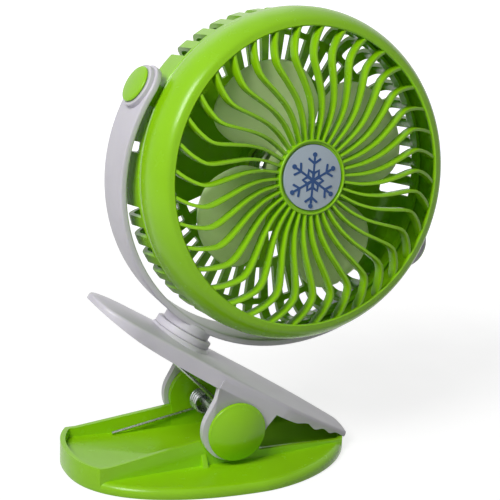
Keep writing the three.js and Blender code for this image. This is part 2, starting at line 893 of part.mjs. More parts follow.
// A screw along Z: its head lies below zero, with a slot, and its shank runs up from there.
function screwShape(headRadius, headHigh, radius, length) {
  const slotDeep = headHigh / 2;
  const slot = block(headRadius * 2 + cutOver, slotDeep, slotDeep, 0, 0, -headHigh);
  return rod(radius, -slotDeep, length).add(rod(headRadius, -headHigh, 0)).subtract(slot);
}

function swivelScrew() {
  const shape = screwShape(neck.screwHeadRadius, neck.screwHead, neck.screwRadius, neck.screwBite);
  return placed(shape, shift(0, 0, washerTop - neck.washerThick - seatGap));
}

function pivotPin(side) {
  const floor = padFace - pivot.headSink + seatGap;
  const start = pivotBossInner + pivot.holeFloor + seatGap;
  const shank = rod(pivot.pinRadius, start, floor + pivot.pinHead / 2);
  const pin = shank.add(rod(pivot.pinHeadRadius, floor, floor + pivot.pinHead));
  return alongX(pin).transform(turnZ(side > 0 ? 0 : Math.PI).elements.slice());
}

function pivotWasher(side) {
  const to = yokeOuter - yoke.thick - seatGap * 2;
  const shape = tube(pivot.washerRadius, pivot.pinRadius + shaftGap, to - pivot.washerThick, to);
  return placed(alongX(shape), turnZ(side > 0 ? 0 : Math.PI));
}

function pivotCap(side) {
  const seat = padFace + seatGap;
  const rim = seat + yoke.capThick - yoke.capDome;
  const cap = turned([
    [0, seat],
    [yoke.capRadius, seat],
    ...domeProfile(yoke.capRadius, rim, seat + yoke.capThick),
  ]);
  return placed(alongX(cap), turnZ(side > 0 ? 0 : Math.PI));
}

// Fan head, drawn about its centre, with Z towards the front, X to the right pivot and Y up

// A place at a radius and an angle that turns clockwise from the top, seen from the front.
function around(radius, degrees, height) {
  const angle = radians(degrees);
  return new THREE.Vector3(radius * Math.sin(angle), radius * Math.cos(angle), height);
}

// Ring outline from its rear edge to its lip: shares of the way out from the lip, and of its depth.
const ringOutShares = [0.765, 1, 1, 0.88, 0.5, 0];
const ringUpShares = [0, 0.26, 0.45, 0.68, 0.91, 1];

function ringProfile() {
  const side = (outer, depth) => ringOutShares.map((out, i) => [
    ringLip + (outer - ringLip) * out,
    seatGap + (depth - seatGap) * ringUpShares[i],
  ]);
  const inner = side(ring.outerRadius - ring.wall, ring.depth - ring.wall);
  return [...side(ring.outerRadius, ring.depth), ...inner.reverse()];
}

function grilleBar(turn) {
  const rings = barLengthShares.map((share, i) => {
    const radius = barStart + (barEnd - barStart) * share;
    const wide = bars.hubWide + (bars.rimWide - bars.hubWide) * share;
    const deep = bars.hubDeep + (bars.rimDeep - bars.hubDeep) * share;
    const top = barHeightShares[i] * ring.depth;
    const middle = around(radius, turn + barTurnDegrees[i], top);
    const aside = around(wide / 2, turn + barTurnDegrees[i] + 90, 0);
    const down = new THREE.Vector3(0, 0, -deep);
    return [
      middle.clone().add(aside),
      middle.clone().sub(aside),
      middle.clone().sub(aside).add(down),
      middle.clone().add(aside).add(down),
    ];
  });
  return loft(rings);
}

function frontGrille() {
  const recess = hub.badgeThick + seatGap;
  const plate = rod(hub.radius, hubFront - hub.thick, hubFront, roundSides);
  const seat = rod(badgeSeatRadius, hubFront - recess, hubFront + cutOver, roundSides);
  const fins = [];
  for (let i = 0; i < barCount; i += 1) fins.push(grilleBar((i * 360) / barCount));
  const notch = rod(pivot.bossRadius + seatGap, -ring.outerRadius - cutOver, ring.outerRadius + cutOver);
  return joinAll([turned(ringProfile(), hoopSides), ...fins, plate])
    .subtract(seat)
    .subtract(placed(alongX(notch), shift(0, 0, -pivotBehind)));
}

function badge() {
  const seat = hubFront - hub.badgeThick;
  return turned([
    [0, seat],
    [badgeRadius, seat],
    ...domeProfile(badgeRadius, hubFront, hubFront + hub.badgeDome),
  ]);
}

// Rear cage: a shell with rows of windows and slots, solid behind the motor and at both pivots

const faceInside = cage.wall - cage.depth;
const spigotOuter = ringLip + (ring.lipWide - ring.wall) * ringOutShares[0] - seatGap * 2;

function cageShell() {
  const corner = (radius, depth) => cornerShares.map((share) => {
    const angle = share * (Math.PI / 2);
    return [
      cageFace + (radius - cageFace) * Math.cos(angle),
      -cage.sideDepth - (depth - cage.sideDepth) * Math.sin(angle),
    ];
  });
  const inner = cageOuter - cage.wall;
  const spigotInner = spigotOuter - cage.spigotThick;
  return turned([
    [spigotOuter, 0],
    [cageOuter, 0],
    ...corner(cageOuter, cage.depth),
    [0, -cage.depth],
    [0, faceInside],
    ...corner(inner, cage.depth - cage.wall).reverse(),
    [inner, -cage.wall * 2],
    [spigotInner, -cage.wall],
    [spigotInner, cage.spigotReach],
    [spigotOuter, cage.spigotReach],
  ], hoopSides);
}

// One opening through the cage's face, between two radii and two angles.
function faceWindow(inner, outer, from, to) {
  const corners = [[inner, from], [outer, from], [outer, to], [inner, to]];
  const outline = corners.map(([radius, degrees]) => {
    const place = around(radius, degrees, 0);
    return [place.x, place.y];
  });
  return prism(outline, -cage.depth - cutOver, faceInside + cutOver);
}

function faceWindows() {
  const windows = [];
  windowCounts.forEach((count, row) => {
    const inner = windowInnerShares[row] * cageFace;
    const outer = windowOuterShares[row] * cageFace;
    const open = (360 / count) * windowShare;
    for (let i = 0; i < count; i += 1) {
      const middle = ((i + 0.5) * 360) / count;
      const near = around(inner, middle, 0);
      const behindPod = Math.abs(near.x) < earAside + pod.earRadius * 2
        && Math.abs(near.y) < pod.halfHeight + cage.hoopWide;
      if (!behindPod) windows.push(faceWindow(inner, outer, middle - open / 2, middle + open / 2));
    }
  });
  return windows;
}

// Slots that run over the side and the rounded corner onto the face.
function cageSlots() {
  const inner = windowOuterShares[windowOuterShares.length - 1] * cageFace + cage.hoopWide;
  const outer = cageOuter + cutOver;
  const wide = ((2 * Math.PI * cageOuter) / cageRibCount) * windowShare;
  const high = cage.depth + cutOver - cage.windowMargin;
  const slot = block(wide, outer - inner, high, 0, (inner + outer) / 2, -cage.windowMargin - high / 2);
  const slots = [];
  for (let i = 0; i < cageRibCount; i += 1) {
    const middle = ((i + 0.5) * 360) / cageRibCount;
    const atPivot = Math.abs(around(cageOuter, middle, 0).y) < pivot.bossRadius * 3;
    const inPanel = Math.abs(middle - panelDegrees) < panelHalfDegrees;
    if (!atPivot && !inPanel) slots.push(placed(slot, turnZ(-radians(middle))));
  }
  return slots;
}

function cageBosses() {
  const washerInner = yokeOuter - yoke.thick - seatGap * 2 - pivot.washerThick;
  const boss = alongX(rod(pivot.bossRadius, pivotBossInner, washerInner - seatGap));
  return placed(bothSides(boss), shift(0, 0, -pivotBehind));
}

function cagePinHoles() {
  const hole = rod(pivot.pinRadius + shaftGap, pivotBossInner + pivot.holeFloor, yokeOuter);
  return placed(bothSides(alongX(hole)), shift(0, 0, -pivotBehind));
}

// Places of the four screws that hold the rear housing, and of the two that hold the motor.
const quarters = [[1, 1], [-1, 1], [-1, -1], [1, -1]];
const earPlaces = quarters.map(([x, y]) => [x * earAside, y * pod.earUp]);
const motorScrewPlaces = [1, -1].map((side) => [side * motor.screwAside, -motor.screwDown]);

function cageScrewBosses() {
  const radius = small.screwRadius * screwBossShare;
  const top = faceInside + small.screwLength / 2;
  return earPlaces.map(([x, y]) => placed(rod(radius, faceInside - cage.wall / 2, top), shift(x, y, 0)));
}

function cageScrewHoles() {
  const radius = small.screwRadius + shaftGap;
  const top = faceInside + small.screwLength / 2 - cage.wall / 2;
  const start = -cage.depth - cutOver;
  const ears = earPlaces.map(([x, y]) => placed(rod(radius, start, top), shift(x, y, 0)));
  const motorHoles = motorScrewPlaces.map(([x, y]) => (
    placed(rod(radius, start, faceInside + cutOver), shift(x, y, 0))
  ));
  return joinAll([...ears, ...motorHoles]);
}

function rearGrille() {
  const inner = motor.radius + seatGap;
  const [from, to] = [faceInside - cage.wall / 2, faceInside + motor.mountHeight];
  const mount = tube(inner + motor.mountWall, inner, from, to, roundSides);
  const windows = joinAll([...faceWindows(), ...cageSlots()]);
  return joinAll([cageShell().subtract(windows), cageBosses(), mount, ...cageScrewBosses()])
    .subtract(cagePinHoles())
    .subtract(cageScrewHoles());
}

// Impeller and motor

// A closed sheet between two grids of points, each a list of rows.
function sheetBetween(upper, lower) {
  const rows = upper.length;
  const columns = upper[0].length;
  const at = (layer, row, column) => (layer * rows + row) * columns + column;
  const corners = [];
  const quad = (a, b, c, d) => corners.push(a, b, c, a, c, d);
  const [lastRow, lastColumn] = [rows - 1, columns - 1];
  for (let i = 0; i < lastRow; i += 1) {
    for (let j = 0; j < lastColumn; j += 1) {
      quad(at(0, i, j), at(0, i + 1, j), at(0, i + 1, j + 1), at(0, i, j + 1));
      quad(at(1, i, j), at(1, i, j + 1), at(1, i + 1, j + 1), at(1, i + 1, j));
    }
    quad(at(0, i, 0), at(1, i, 0), at(1, i + 1, 0), at(0, i + 1, 0));
    quad(at(0, i, lastColumn), at(0, i + 1, lastColumn), at(1, i + 1, lastColumn), at(1, i, lastColumn));
  }
  for (let j = 0; j < lastColumn; j += 1) {
    quad(at(0, 0, j), at(0, 0, j + 1), at(1, 0, j + 1), at(1, 0, j));
    quad(at(0, lastRow, j), at(1, lastRow, j), at(1, lastRow, j + 1), at(0, lastRow, j + 1));
  }
  const places = [...upper, ...lower].flat().flatMap((p) => [p.x, p.y, p.z]);
  const geometry = new THREE.BufferGeometry();
  geometry.setAttribute('position', new THREE.Float32BufferAttribute(places, 3));
  geometry.setIndex(corners);
  return solid(geometry);
}

function bladeSheet(turn) {
  const root = blades.hubRadius - blades.hubWall / 2;
  const widest = Math.max(...bladeSpreadDegrees);
  const middle = bladesFront - blades.hubDepth / 2 - blades.thick / 2;
  const grid = (lift) => bladeLengthShares.map((share, i) => bladeColumnShares.map((across) => {
    const radius = root + (bladeTip - root) * share;
    const degrees = turn + bladeSweepDegrees[i] + across * bladeSpreadDegrees[i];
    const rise = ((across * blades.rise) / 2) * (bladeSpreadDegrees[i] / widest);
    return around(radius, degrees, middle + rise + lift);
  }));
  return sheetBetween(grid(blades.thick / 2), grid(-blades.thick / 2));
}

const motorFront = faceInside + seatGap + motor.length;

function impeller() {
  const rear = bladesFront - blades.hubDepth;
  const inner = blades.hubRadius - blades.hubWall;
  const inside = bladesFront - blades.hubWall;
  const cup = turned([
    [0, inside],
    [inner, inside],
    [inner, rear],
    [blades.hubRadius, rear],
    [blades.hubRadius, bladesFront - blades.hubEdge],
    [blades.hubRadius - blades.hubEdge * bluntShare, bladesFront - blades.hubEdge * bluntShare],
    [blades.hubRadius - blades.hubEdge, bladesFront],
    [0, bladesFront],
  ]);
  const boss = rod(blades.bossRadius, rear, bladesFront - blades.hubWall / 2);
  const petals = [];
  for (let i = 0; i < bladeCount; i += 1) {
    petals.push(bladeSheet(bladeFirstDegrees + (i * 360) / bladeCount));
  }
  return joinAll([cup, boss, ...petals])
    .subtract(rod(motor.shaftRadius + shaftGap, rear - cutOver, shaftEnd + seatGap));
}

function motorEndCap() {
  const from = faceInside + seatGap;
  const to = from + motor.capThick;
  const bore = rod(motor.shaftRadius + shaftGap, from + motor.wall, to + cutOver);
  const holes = motorScrewPlaces.map(([x, y]) => (
    placed(rod(small.screwRadius + shaftGap, from - cutOver, to + cutOver), shift(x, y, 0))
  ));
  return rod(motor.radius, from, to, roundSides).subtract(bore).subtract(joinAll(holes));
}

function motorCan() {
  const rear = faceInside + motor.capThick + seatGap * 2;
  const inner = motor.radius - motor.wall;
  const can = turned([
    [0, motorFront - motor.wall],
    [inner, motorFront - motor.wall],
    [inner, rear],
    [motor.radius, rear],
    [motor.radius, motorFront - motor.wall],
    [motor.radius - motor.wall, motorFront],
    [motor.noseRadius, motorFront],
    [motor.noseRadius, motorFront + motor.noseReach],
    [0, motorFront + motor.noseReach],
  ]);
  const [from, to] = [motorFront - motor.wall - cutOver, motorFront + motor.noseReach + cutOver];
  return can.subtract(rod(motor.bushingRadius + shaftGap, from, to));
}

function motorBushing() {
  const from = motorFront - motor.wall;
  return tube(motor.bushingRadius, motor.shaftRadius + shaftGap, from, motorFront + motor.noseReach);
}

function motorShaft() {
  return rod(motor.shaftRadius, faceInside + motor.wall + seatGap * 2, shaftEnd);
}

function motorArmature() {
  const middle = motorFront - motor.length / 2 + motor.capThick / 2;
  const [from, to] = [middle - motor.armatureLength / 2, middle + motor.armatureLength / 2];
  const radius = motor.armatureRadius;
  const slots = [];
  for (let i = 0; i < armaturePoleCount; i += 1) {
    const cut = block(radius, motor.slotWidth, motor.armatureLength * 2, radius, 0, middle);
    slots.push(placed(cut, turnZ((i * 2 * Math.PI) / armaturePoleCount)));
  }
  return tube(radius, motor.shaftRadius + shaftGap, from, to, roundSides).subtract(joinAll(slots));
}

// A curved magnet inside the can, on one side of the armature.
function motorMagnet(side) {
  const outer = motor.radius - motor.wall - seatGap;
  const middle = motorFront - motor.length / 2 + motor.capThick / 2;
  const outline = [];
  const arc = (radius, from, to) => {
    for (let i = 0; i <= cornerSteps * 2; i += 1) {
      const angle = radians(from + ((to - from) * i) / (cornerSteps * 2));
      outline.push([side * radius * Math.cos(angle), radius * Math.sin(angle)]);
    }
  };
  arc(outer, -magnetHalfDegrees, magnetHalfDegrees);
  arc(outer - motor.magnetThick, magnetHalfDegrees, -magnetHalfDegrees);
  return prism(outline, middle - motor.magnetLength / 2, middle + motor.magnetLength / 2);
}

function motorScrew(index) {
  const [x, y] = motorScrewPlaces[index];
  const shape = screwShape(small.screwHeadRadius, small.screwHead, small.screwRadius, motor.screwLength);
  return placed(shape, shift(x, y, -cage.depth - seatGap));
}

// Rear housing with the battery, the circuit and the button

const podFront = -cage.depth - seatGap;
const podRear = podFront - podDepth;
const podWallInside = podRear + pod.wall;
const flangeFront = podWallInside + seatGap + button.flangeThick;
const switchRear = flangeFront + button.travel + seatGap;
const boardRear = switchRear + small.switchHeight + seatGap;
const boardPlace = shift(board.aside, -boardDown, 0);
const lensPlace = shift(board.aside + small.lensAside, -boardDown, 0);

// A rectangle with rounded corners, as [x, y] points.
function roundedRectangle(halfWide, halfHigh, corner) {
  const points = [];
  quarters.forEach(([x, y], quarter) => {
    for (let i = 0; i <= cornerSteps; i += 1) {
      const angle = (quarter + i / cornerSteps) * (Math.PI / 2);
      points.push([
        x * (halfWide - corner) + corner * Math.cos(angle),
        y * (halfHigh - corner) + corner * Math.sin(angle),
      ]);
    }
  });
  return points;
}

function podRing(inset, height) {
  return roundedRectangle(podHalfLength - inset, pod.halfHeight - inset, pod.corner - inset)
    .map(([x, y]) => new THREE.Vector3(x, y, height));
}

function doorOutline(clearance) {
  const halfWide = doorLength / 2 + clearance;
  const halfHigh = doorHeight / 2 + clearance;
  const outline = roundedRectangle(halfWide, halfHigh, pod.doorCorner + clearance);
  return outline.map(([x, y]) => [x, y + doorUp]);
}

const tabPlace = shift(doorLength / 2 - pod.tabInset, doorUp - doorHeight / 2 - pod.tabDrop, 0);

function doorShape(clearance, from, to) {
  return prism(doorOutline(clearance), from, to)
    .add(placed(rod(pod.tabRadius + clearance, from, to), tabPlace));
}

function podEars() {
  return earPlaces.map(([x, y]) => {
    const middle = podFront - pod.earThick / 2;
    const inward = Math.sign(x) * (pod.earRadius / 2);
    return placed(rod(pod.earRadius, -pod.earThick / 2, pod.earThick / 2), shift(x, y, middle))
      .add(block(pod.earRadius, pod.earRadius * 2, pod.earThick, x - inward, y, middle));
  });
}

const tabHoleEnd = podRear + small.screwLength + small.screwRoom;

function podOpenings() {
  const through = podRear - cutOver;
  const inside = podWallInside + cutOver;
  const doorDepth = podRear + pod.doorThick + seatGap;
  const cellHole = roundedRectangle(
    doorLength / 2 - pod.ledge,
    doorHeight / 2 - pod.ledge,
    pod.doorCorner / 2,
  ).map(([x, y]) => [x, y + doorUp]);
  const socketBack = boardRear - seatGap - small.socketHigh / 2;
  return joinAll([
    doorShape(seatGap, through, doorDepth),
    prism(cellHole, through, inside),
    placed(rod(button.radius + seatGap, through, inside), boardPlace),
    placed(rod(small.lensRadius + seatGap, through, inside), lensPlace),
    block(
      small.socketWide + seatGap * 2,
      pod.wall * 3,
      small.socketHigh + seatGap * 2,
      board.aside + small.socketAside,
      -pod.halfHeight,
      socketBack,
    ),
    placed(rod(small.screwRadius + shaftGap, through, tabHoleEnd), tabPlace),
    ...earPlaces.map(([x, y]) => (
      placed(rod(small.screwRadius + shaftGap, through, podFront + cutOver), shift(x, y, 0))
    )),
  ]);
}

function rearHousing() {
  const shell = loft([podRing(0, podFront), podRing(0, podRear + pod.edge), podRing(pod.edge, podRear)]);
  const inner = roundedRectangle(
    podHalfLength - pod.wall,
    pod.halfHeight - pod.wall,
    pod.corner - pod.wall,
  );
  const hollow = prism(inner, podWallInside, podFront + cutOver);
  const posts = [1, -1].map((side) => placed(
    rod(board.postRadius, podWallInside - pod.wall / 2, boardRear - seatGap),
    shift(board.aside + side * board.postAside, -boardDown, 0),
  ));
  const tabBoss = placed(
    rod(small.screwRadius * screwBossShare, podWallInside - pod.wall / 2, tabHoleEnd + small.screwRoom),
    tabPlace,
  );
  return joinAll([shell.subtract(hollow), ...podEars(), ...posts, tabBoss]).subtract(podOpenings());
}

function housingScrew(index) {
  const [x, y] = earPlaces[index];
  const shape = screwShape(small.screwHeadRadius, small.screwHead, small.screwRadius, small.screwLength);
  return placed(shape, shift(x, y, podFront - pod.earThick - seatGap));
}

function batteryCover() {
  const hole = rod(small.screwRadius + shaftGap, podRear - cutOver, podRear + pod.wall);
  return doorShape(0, podRear, podRear + pod.doorThick).subtract(placed(hole, tabPlace));
}

function coverScrew() {
  const shape = screwShape(small.screwHeadRadius, small.screwHead, small.screwRadius, small.screwLength);
  return placed(placed(shape, shift(0, 0, podRear - seatGap)), tabPlace);
}

// Along X, in the battery space: the positive contact is at the right end.
const contactFace = podHalfLength - pod.wall - seatGap - cell.contactThick;
const cellTip = contactFace - seatGap;
const cellTail = cellTip - cell.nubLength - cell.length;
const cellPlace = shift(0, doorUp, (podFront + podWallInside) / 2);

function batteryCell() {
  const body = cellTip - cell.nubLength;
  const shape = turned([
    [0, cellTail],
    [cell.radius - cell.edge, cellTail],
    [cell.radius, cellTail + cell.edge],
    [cell.radius, body - cell.edge],
    [cell.radius - cell.edge, body],
    [cell.nubRadius, body],
    [cell.nubRadius, cellTip],
    [0, cellTip],
  ], smallSides);
  return placed(alongX(shape), cellPlace);
}

function batteryContact(side) {
  const middle = side * (contactFace + cell.contactThick / 2);
  return placed(block(cell.contactThick, cell.contactSide, cell.contactSide, middle, 0, 0), cellPlace);
}

function batterySpring() {
  const from = -contactFace + seatGap + cell.springWire / 2;
  const to = cellTail - seatGap - cell.springWire / 2;
  const steps = cellSpringTurnCount * springTurnSteps;
  const path = [];
  for (let i = 0; i <= steps; i += 1) {
    const angle = (i / springTurnSteps) * 2 * Math.PI;
    path.push(new THREE.Vector3(
      from + ((to - from) * i) / steps,
      cell.springRadius * Math.cos(angle),
      cell.springRadius * Math.sin(angle),
    ));
  }
  return placed(loft(wireRings(path, cell.springWire / 2, springSides)), cellPlace);
}

function circuitBoard() {
  const middle = boardRear + board.thick / 2;
  return placed(block(board.length, board.height, board.thick, 0, 0, middle), boardPlace);
}

function tactSwitch() {
  const middle = switchRear + small.switchHeight / 2;
  return placed(block(small.switchSide, small.switchSide, small.switchHeight, 0, 0, middle), boardPlace);
}

function speedButton() {
  const rim = podRear - button.proud;
  const shape = turned([
    [0, flangeFront],
    [button.radius + button.flange, flangeFront],
    [button.radius + button.flange, flangeFront - button.flangeThick],
    [button.radius, flangeFront - button.flangeThick],
    ...domeProfile(button.radius, rim + button.dome, rim),
  ], smallSides);
  return placed(shape, boardPlace);
}

function powerLens() {
  const flange = podWallInside + seatGap;
  const shape = turned([
    [0, flange + small.lensFlange],
    [small.lensRadius + small.lensFlange, flange + small.lensFlange],
    [small.lensRadius + small.lensFlange, flange],
    [small.lensRadius, flange],
    ...domeProfile(small.lensRadius, podRear, podRear - small.lensProud),
  ], smallSides);
  return placed(shape, lensPlace);
}

function usbSocket() {
  const mouth = -pod.halfHeight + seatGap;
  const [x, y] = [board.aside + small.socketAside, mouth + small.socketDeep / 2];
  const z = boardRear - seatGap - small.socketHigh / 2;
  const wall = small.socketWall * 2;
  return block(small.socketWide, small.socketDeep, small.socketHigh, x, y, z)
    .subtract(block(small.socketWide - wall, small.socketDeep, small.socketHigh - wall, x, y - wall, z));
}

// The assembly: each group turns with what carries it

const fanHead = new THREE.Group();
fanHead.rotation.x = Math.PI / 2 - radians(tiltDegrees);
fanHead.translateZ(pivotBehind);
fanHead.add(
  piece('front_grille', green(), frontGrille()),
  piece('hub_badge', plastic(0xdce4ea, 0.3), badge()),
  piece('rear_grille', green(), rearGrille()),
  piece('impeller', plastic(0xe4efe0, 0.25), impeller()),
  piece('motor_can', steel(), motorCan()),
  piece('motor_end_cap', plastic(0xf0f0ee, 0.5), motorEndCap()),
  piece('motor_bushing', brass(), motorBushing()),
  piece('motor_magnet_left', plastic(0x2c2c2e, 0.7), motorMagnet(-1)),
  piece('motor_magnet_right', plastic(0x2c2c2e, 0.7), motorMagnet(1)),
  piece('motor_shaft', steel(), motorShaft()),
  piece('motor_armature', metal(0x8a5a34, 0.5), motorArmature()),
  piece('motor_screw_left', steel(), motorScrew(1)),
  piece('motor_screw_right', steel(), motorScrew(0)),
  piece('rear_housing', green(), rearHousing()),
  piece('battery_cover', green(), batteryCover()),
  piece('cover_screw', steel(), coverScrew()),
  piece('battery_cell', plastic(0x3f8fc4, 0.45), batteryCell()),
  piece('battery_spring', steel(), batterySpring()),
  piece('battery_contact_plus', steel(), batteryContact(1)),
  piece('battery_contact_minus', steel(), batteryContact(-1)),
  piece('circuit_board', plastic(0x1f6b3a, 0.5), circuitBoard()),
  piece('tact_switch', plastic(0x242426, 0.5), tactSwitch()),
  piece('speed_button', white(), speedButton()),
  piece('power_lens', plastic(0xf4f4f0, 0.15), powerLens()),
  piece('usb_socket', steel(), usbSocket()),
);
earPlaces.forEach((place, i) => fanHead.add(piece(`housing_screw_${i + 1}`, steel(), housingScrew(i))));

const yokeGroup = new THREE.Group();
yokeGroup.position.set(neck.along, 0, headHeight);
yokeGroup.add(
  fanHead,
  piece('yoke', white(), yokeFrame()),
  piece('swivel_washer', steel(), swivelWasher()),
  piece('swivel_screw', steel(), swivelScrew()),
  piece('pivot_pin_left', steel(), pivotPin(-1)),
  piece('pivot_pin_right', steel(), pivotPin(1)),
  piece('pivot_washer_left', plastic(0xe8e8e6, 0.4), pivotWasher(-1)),
  piece('pivot_washer_right', plastic(0xe8e8e6, 0.4), pivotWasher(1)),
  piece('pivot_cap_left', green(), pivotCap(-1)),
  piece('pivot_cap_right', green(), pivotCap(1)),
);

const jawGroup = new THREE.Group();
jawGroup.position.set(0, 0, clip.hingeHeight);
jawGroup.rotation.y = radians(clip.slopeDegrees);
jawGroup.add(
  yokeGroup,
  piece('upper_jaw', white(), upperJaw()),
  piece('hinge_cap_near', green(), hingeCap(-1)),
  piece('hinge_cap_far', green(), hingeCap(1)),
  piece('swivel_collar', white(), swivelCollar()),
);

const fan = new THREE.Group();
fan.add(
  jawGroup,
  piece('lower_jaw', green(), lowerJaw()),
  piece('hinge_pin', steel(), hingePin()),
  piece('torsion_spring', steel(), torsionSpring()),
);

export default fan;
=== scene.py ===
"""Looks of a small clip-on fan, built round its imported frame.

Each piece is drawn in millimetres in the frame of what carries it: the clip's upper jaw, the yoke,
the head or the world. It is then set into the row frame, in metres.
"""
import json
import math
from functools import partial
from math import cos, pi, radians, sin
from types import SimpleNamespace as Sizes

import bmesh
import bpy
from mathutils import Matrix, Vector

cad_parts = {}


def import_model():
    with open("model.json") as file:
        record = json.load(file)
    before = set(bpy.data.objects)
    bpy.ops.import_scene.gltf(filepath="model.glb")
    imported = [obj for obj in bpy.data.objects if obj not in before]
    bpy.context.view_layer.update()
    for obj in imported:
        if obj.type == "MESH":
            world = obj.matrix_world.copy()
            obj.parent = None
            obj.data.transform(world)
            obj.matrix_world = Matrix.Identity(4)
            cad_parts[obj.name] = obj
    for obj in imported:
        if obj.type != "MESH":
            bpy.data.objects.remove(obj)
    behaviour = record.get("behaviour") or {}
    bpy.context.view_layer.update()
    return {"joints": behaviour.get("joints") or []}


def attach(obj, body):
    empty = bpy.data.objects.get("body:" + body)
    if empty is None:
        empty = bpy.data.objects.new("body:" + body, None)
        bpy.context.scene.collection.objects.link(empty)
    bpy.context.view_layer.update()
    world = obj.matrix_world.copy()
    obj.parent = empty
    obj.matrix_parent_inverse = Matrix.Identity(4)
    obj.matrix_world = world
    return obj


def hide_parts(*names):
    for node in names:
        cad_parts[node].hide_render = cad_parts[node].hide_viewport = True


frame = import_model()

# Frames of the moving groups, from the joints

MM = 0.001
joints = {joint["name"]: joint for joint in frame["joints"]}


def axes(x_axis, z_axis, origin):
    """A frame with those X and Z axes at a place in metres, for points in millimetres."""
    x_axis, z_axis = Vector(x_axis).normalized(), Vector(z_axis).normalized()
    y_axis = z_axis.cross(x_axis)
    turn = Matrix((x_axis, y_axis, z_axis)).transposed().to_4x4()
    return Matrix.Translation(Vector(origin)) @ turn @ Matrix.Scale(MM, 4)


TILT = joints["head_tilt"]
SLOPE_X = Vector(TILT["axis"])
NECK_Z = Vector(joints["neck_swivel"]["axis"])
WORLD = Matrix.Scale(MM, 4)
JAW = axes(SLOPE_X, NECK_Z, joints["jaw_hinge"]["pos_m"])
YOKE = axes(SLOPE_X, NECK_Z, TILT["pos_m"])
PIVOT_BEHIND = 4.0
HEAD = axes(SLOPE_X, joints["fan_spin"]["axis"], TILT["pos_m"]) @ Matrix.Translation((0, 0, PIVOT_BEHIND))

HOMES = {"clip_base": WORLD, "upper_clip": JAW, "yoke_arm": YOKE, "head": HEAD, "wheel": HEAD,
         "button": HEAD}

# Sizes in millimetres

# Clearances between pieces, at a tight seam and round a shaft, and how far a cut runs past its end
GAP = 0.3
SEAM = 0.1
SHAFT_GAP = 0.15
OVER = 1.0
# Edge rounds that several pieces share
CRISP, EASED, SOFT = 0.2, 0.3, 0.5
hinge = Sizes(height=21, pin=2, bore_half=60, ear=3.2, lower_ear=2.7, lower_outer=21.7, radius=14.4)
hinge.upper_inner = hinge.lower_outer + GAP
hinge.upper_outer = hinge.upper_inner + hinge.ear
base = Sizes(
    tip=62, handle=70, half=46, widest=4.5, thick=5, round=3, foot_edge=0.7, rim=2.4, under=2.2,
    rib=12, floor=3.9, handle_floor=7, floor_step=5, step_round=1.2, wall=2.3, tub_end=24,
    tub_corner=57.5, rim_end=11.2, rim_ear=17.2, ear_x=13.5, channel_tip=17, channel_ear=8.8,
    channel_low=5.6, gusset=3.8, gusset_rise=5.7, gusset_thick=2.4, soft=0.45,
)
jaw = Sizes(
    handle=81.5, tip=59, side=20.4, crown=1.8, wall=2.2, tip_half=13, handle_half=20, end_half=0.4,
    end_cut=0.05, station=2.5, stations=17, teeth_from=16, tooth_station=0.75, tooth_stations=52,
    ear_shift=1.6, ear_flare=2.4, boss=14.6, boss_rise=1.3, boss_top=23.2, crease=1.6, soft=0.4,
)
neck = Sizes(along=-34.5, collar=13.3, collar_thick=2.8, foot=11.2, foot_thick=4.7, foot_edge=0.4,
             foot_round=1, post=5, washer=1)
yoke = Sizes(height=107.5, outer=78, thick=3, width=21, inner_round=0.7, outer_round=0.9, pad=9.6,
             pad_thick=2, sink=5.3, sink_deep=1.7, cap=8.3, cap_rim=0.4, cap_thick=1.7)
ring = Sizes(outer=72, lip=64.5, lip_edge=0.5, lip_reach=0.62, lip_soft=0.35, depth=21.6, wall=2)
hub = Sizes(radius=16.2, front=23.7, thick=3.6, seat=15.2, seat_round=0.35, groove=1.1, groove_round=0.1,
            badge=14, badge_thick=1.5, badge_dome=0.4)
crystal = Sizes(star=5.7, notch=3.7, gem_low=1.3, gem_aside=0.7, gem_middle=2.8, gem_high=4.3, wide=1,
                arm_low=3.4, arm_high=9.6, fork_low=7.2, fork_aside=2.7, fork_high=9.1, dot=1.05,
                dot_high=11, deep=0.3, proud=0.06, aside=0.5, down=1.1)
CRYSTAL_TURN = 24.6
bars = Sizes(count=36, reach=65.6, hub_wide=1.1, rim_wide=1.5, hub_deep=3.4, rim_deep=5.6, front_round=0.4)
cage = Sizes(outer=70.5, edge=0.4, wall=2.3, side=12.5, depth=20.3, face=61, spigot=3.4,
             spigot_thick=1.3, margin=1.6, ribs=48, hoop=2.6, window_round=0.8, slot_round=1.2)
pivot = Sizes(boss=5, boss_inner=61, boss_outer=73.1, pin=2.4, pin_inner=63)
wheel = Sizes(tip=53, hub=13.6, depth=11, wall=1.6, edge=2.2, inner_edge=0.6, front=17.3, boss=3.2,
              bore=1.15, bore_end=14.1, thick=1.4, curl=0.9, rise=12.5, count=4, first=-50)
motor = Sizes(radius=12, mount_wall=1.8, mount_height=7, screw_aside=6.5, screw_down=5)
screw = Sizes(head=2.3, high=1.2, edge=0.1, radius=1.2, long=7, short=4.6, hole=1.35, boss=2.88,
              boss_high=3.5, hole_high=2.35)
neck_screw = Sizes(head=3.4, high=2, radius=1.5)
pod = Sizes(length=39, height=20, depth=22.5, wall=2.4, corner=7, edge=1.5, ear_aside=42,
            ear_up=12.5, ear=4, ear_thick=2.5, ear_soft=0.4, door_length=70, door_height=21.6,
            door_thick=1.2, door_up=8, door_corner=2.4, door_ledge=1.4, door_soft=0.25, tab_aside=24,
            tab_drop=2.2, tab=3.6, tab_boss=9, tab_hole=8)
grip = Sizes(count=5, half=6, taper=0.2, wide=0.45, corner=0.44, aside=24, down=4, pitch=2)
board = Sizes(aside=-6, down=10.6, post=1.8, post_aside=15, switch=2.6, lens=1.8, lens_aside=11)
socket = Sizes(wide=8.2, high=3.3, aside=11, low=1.35)
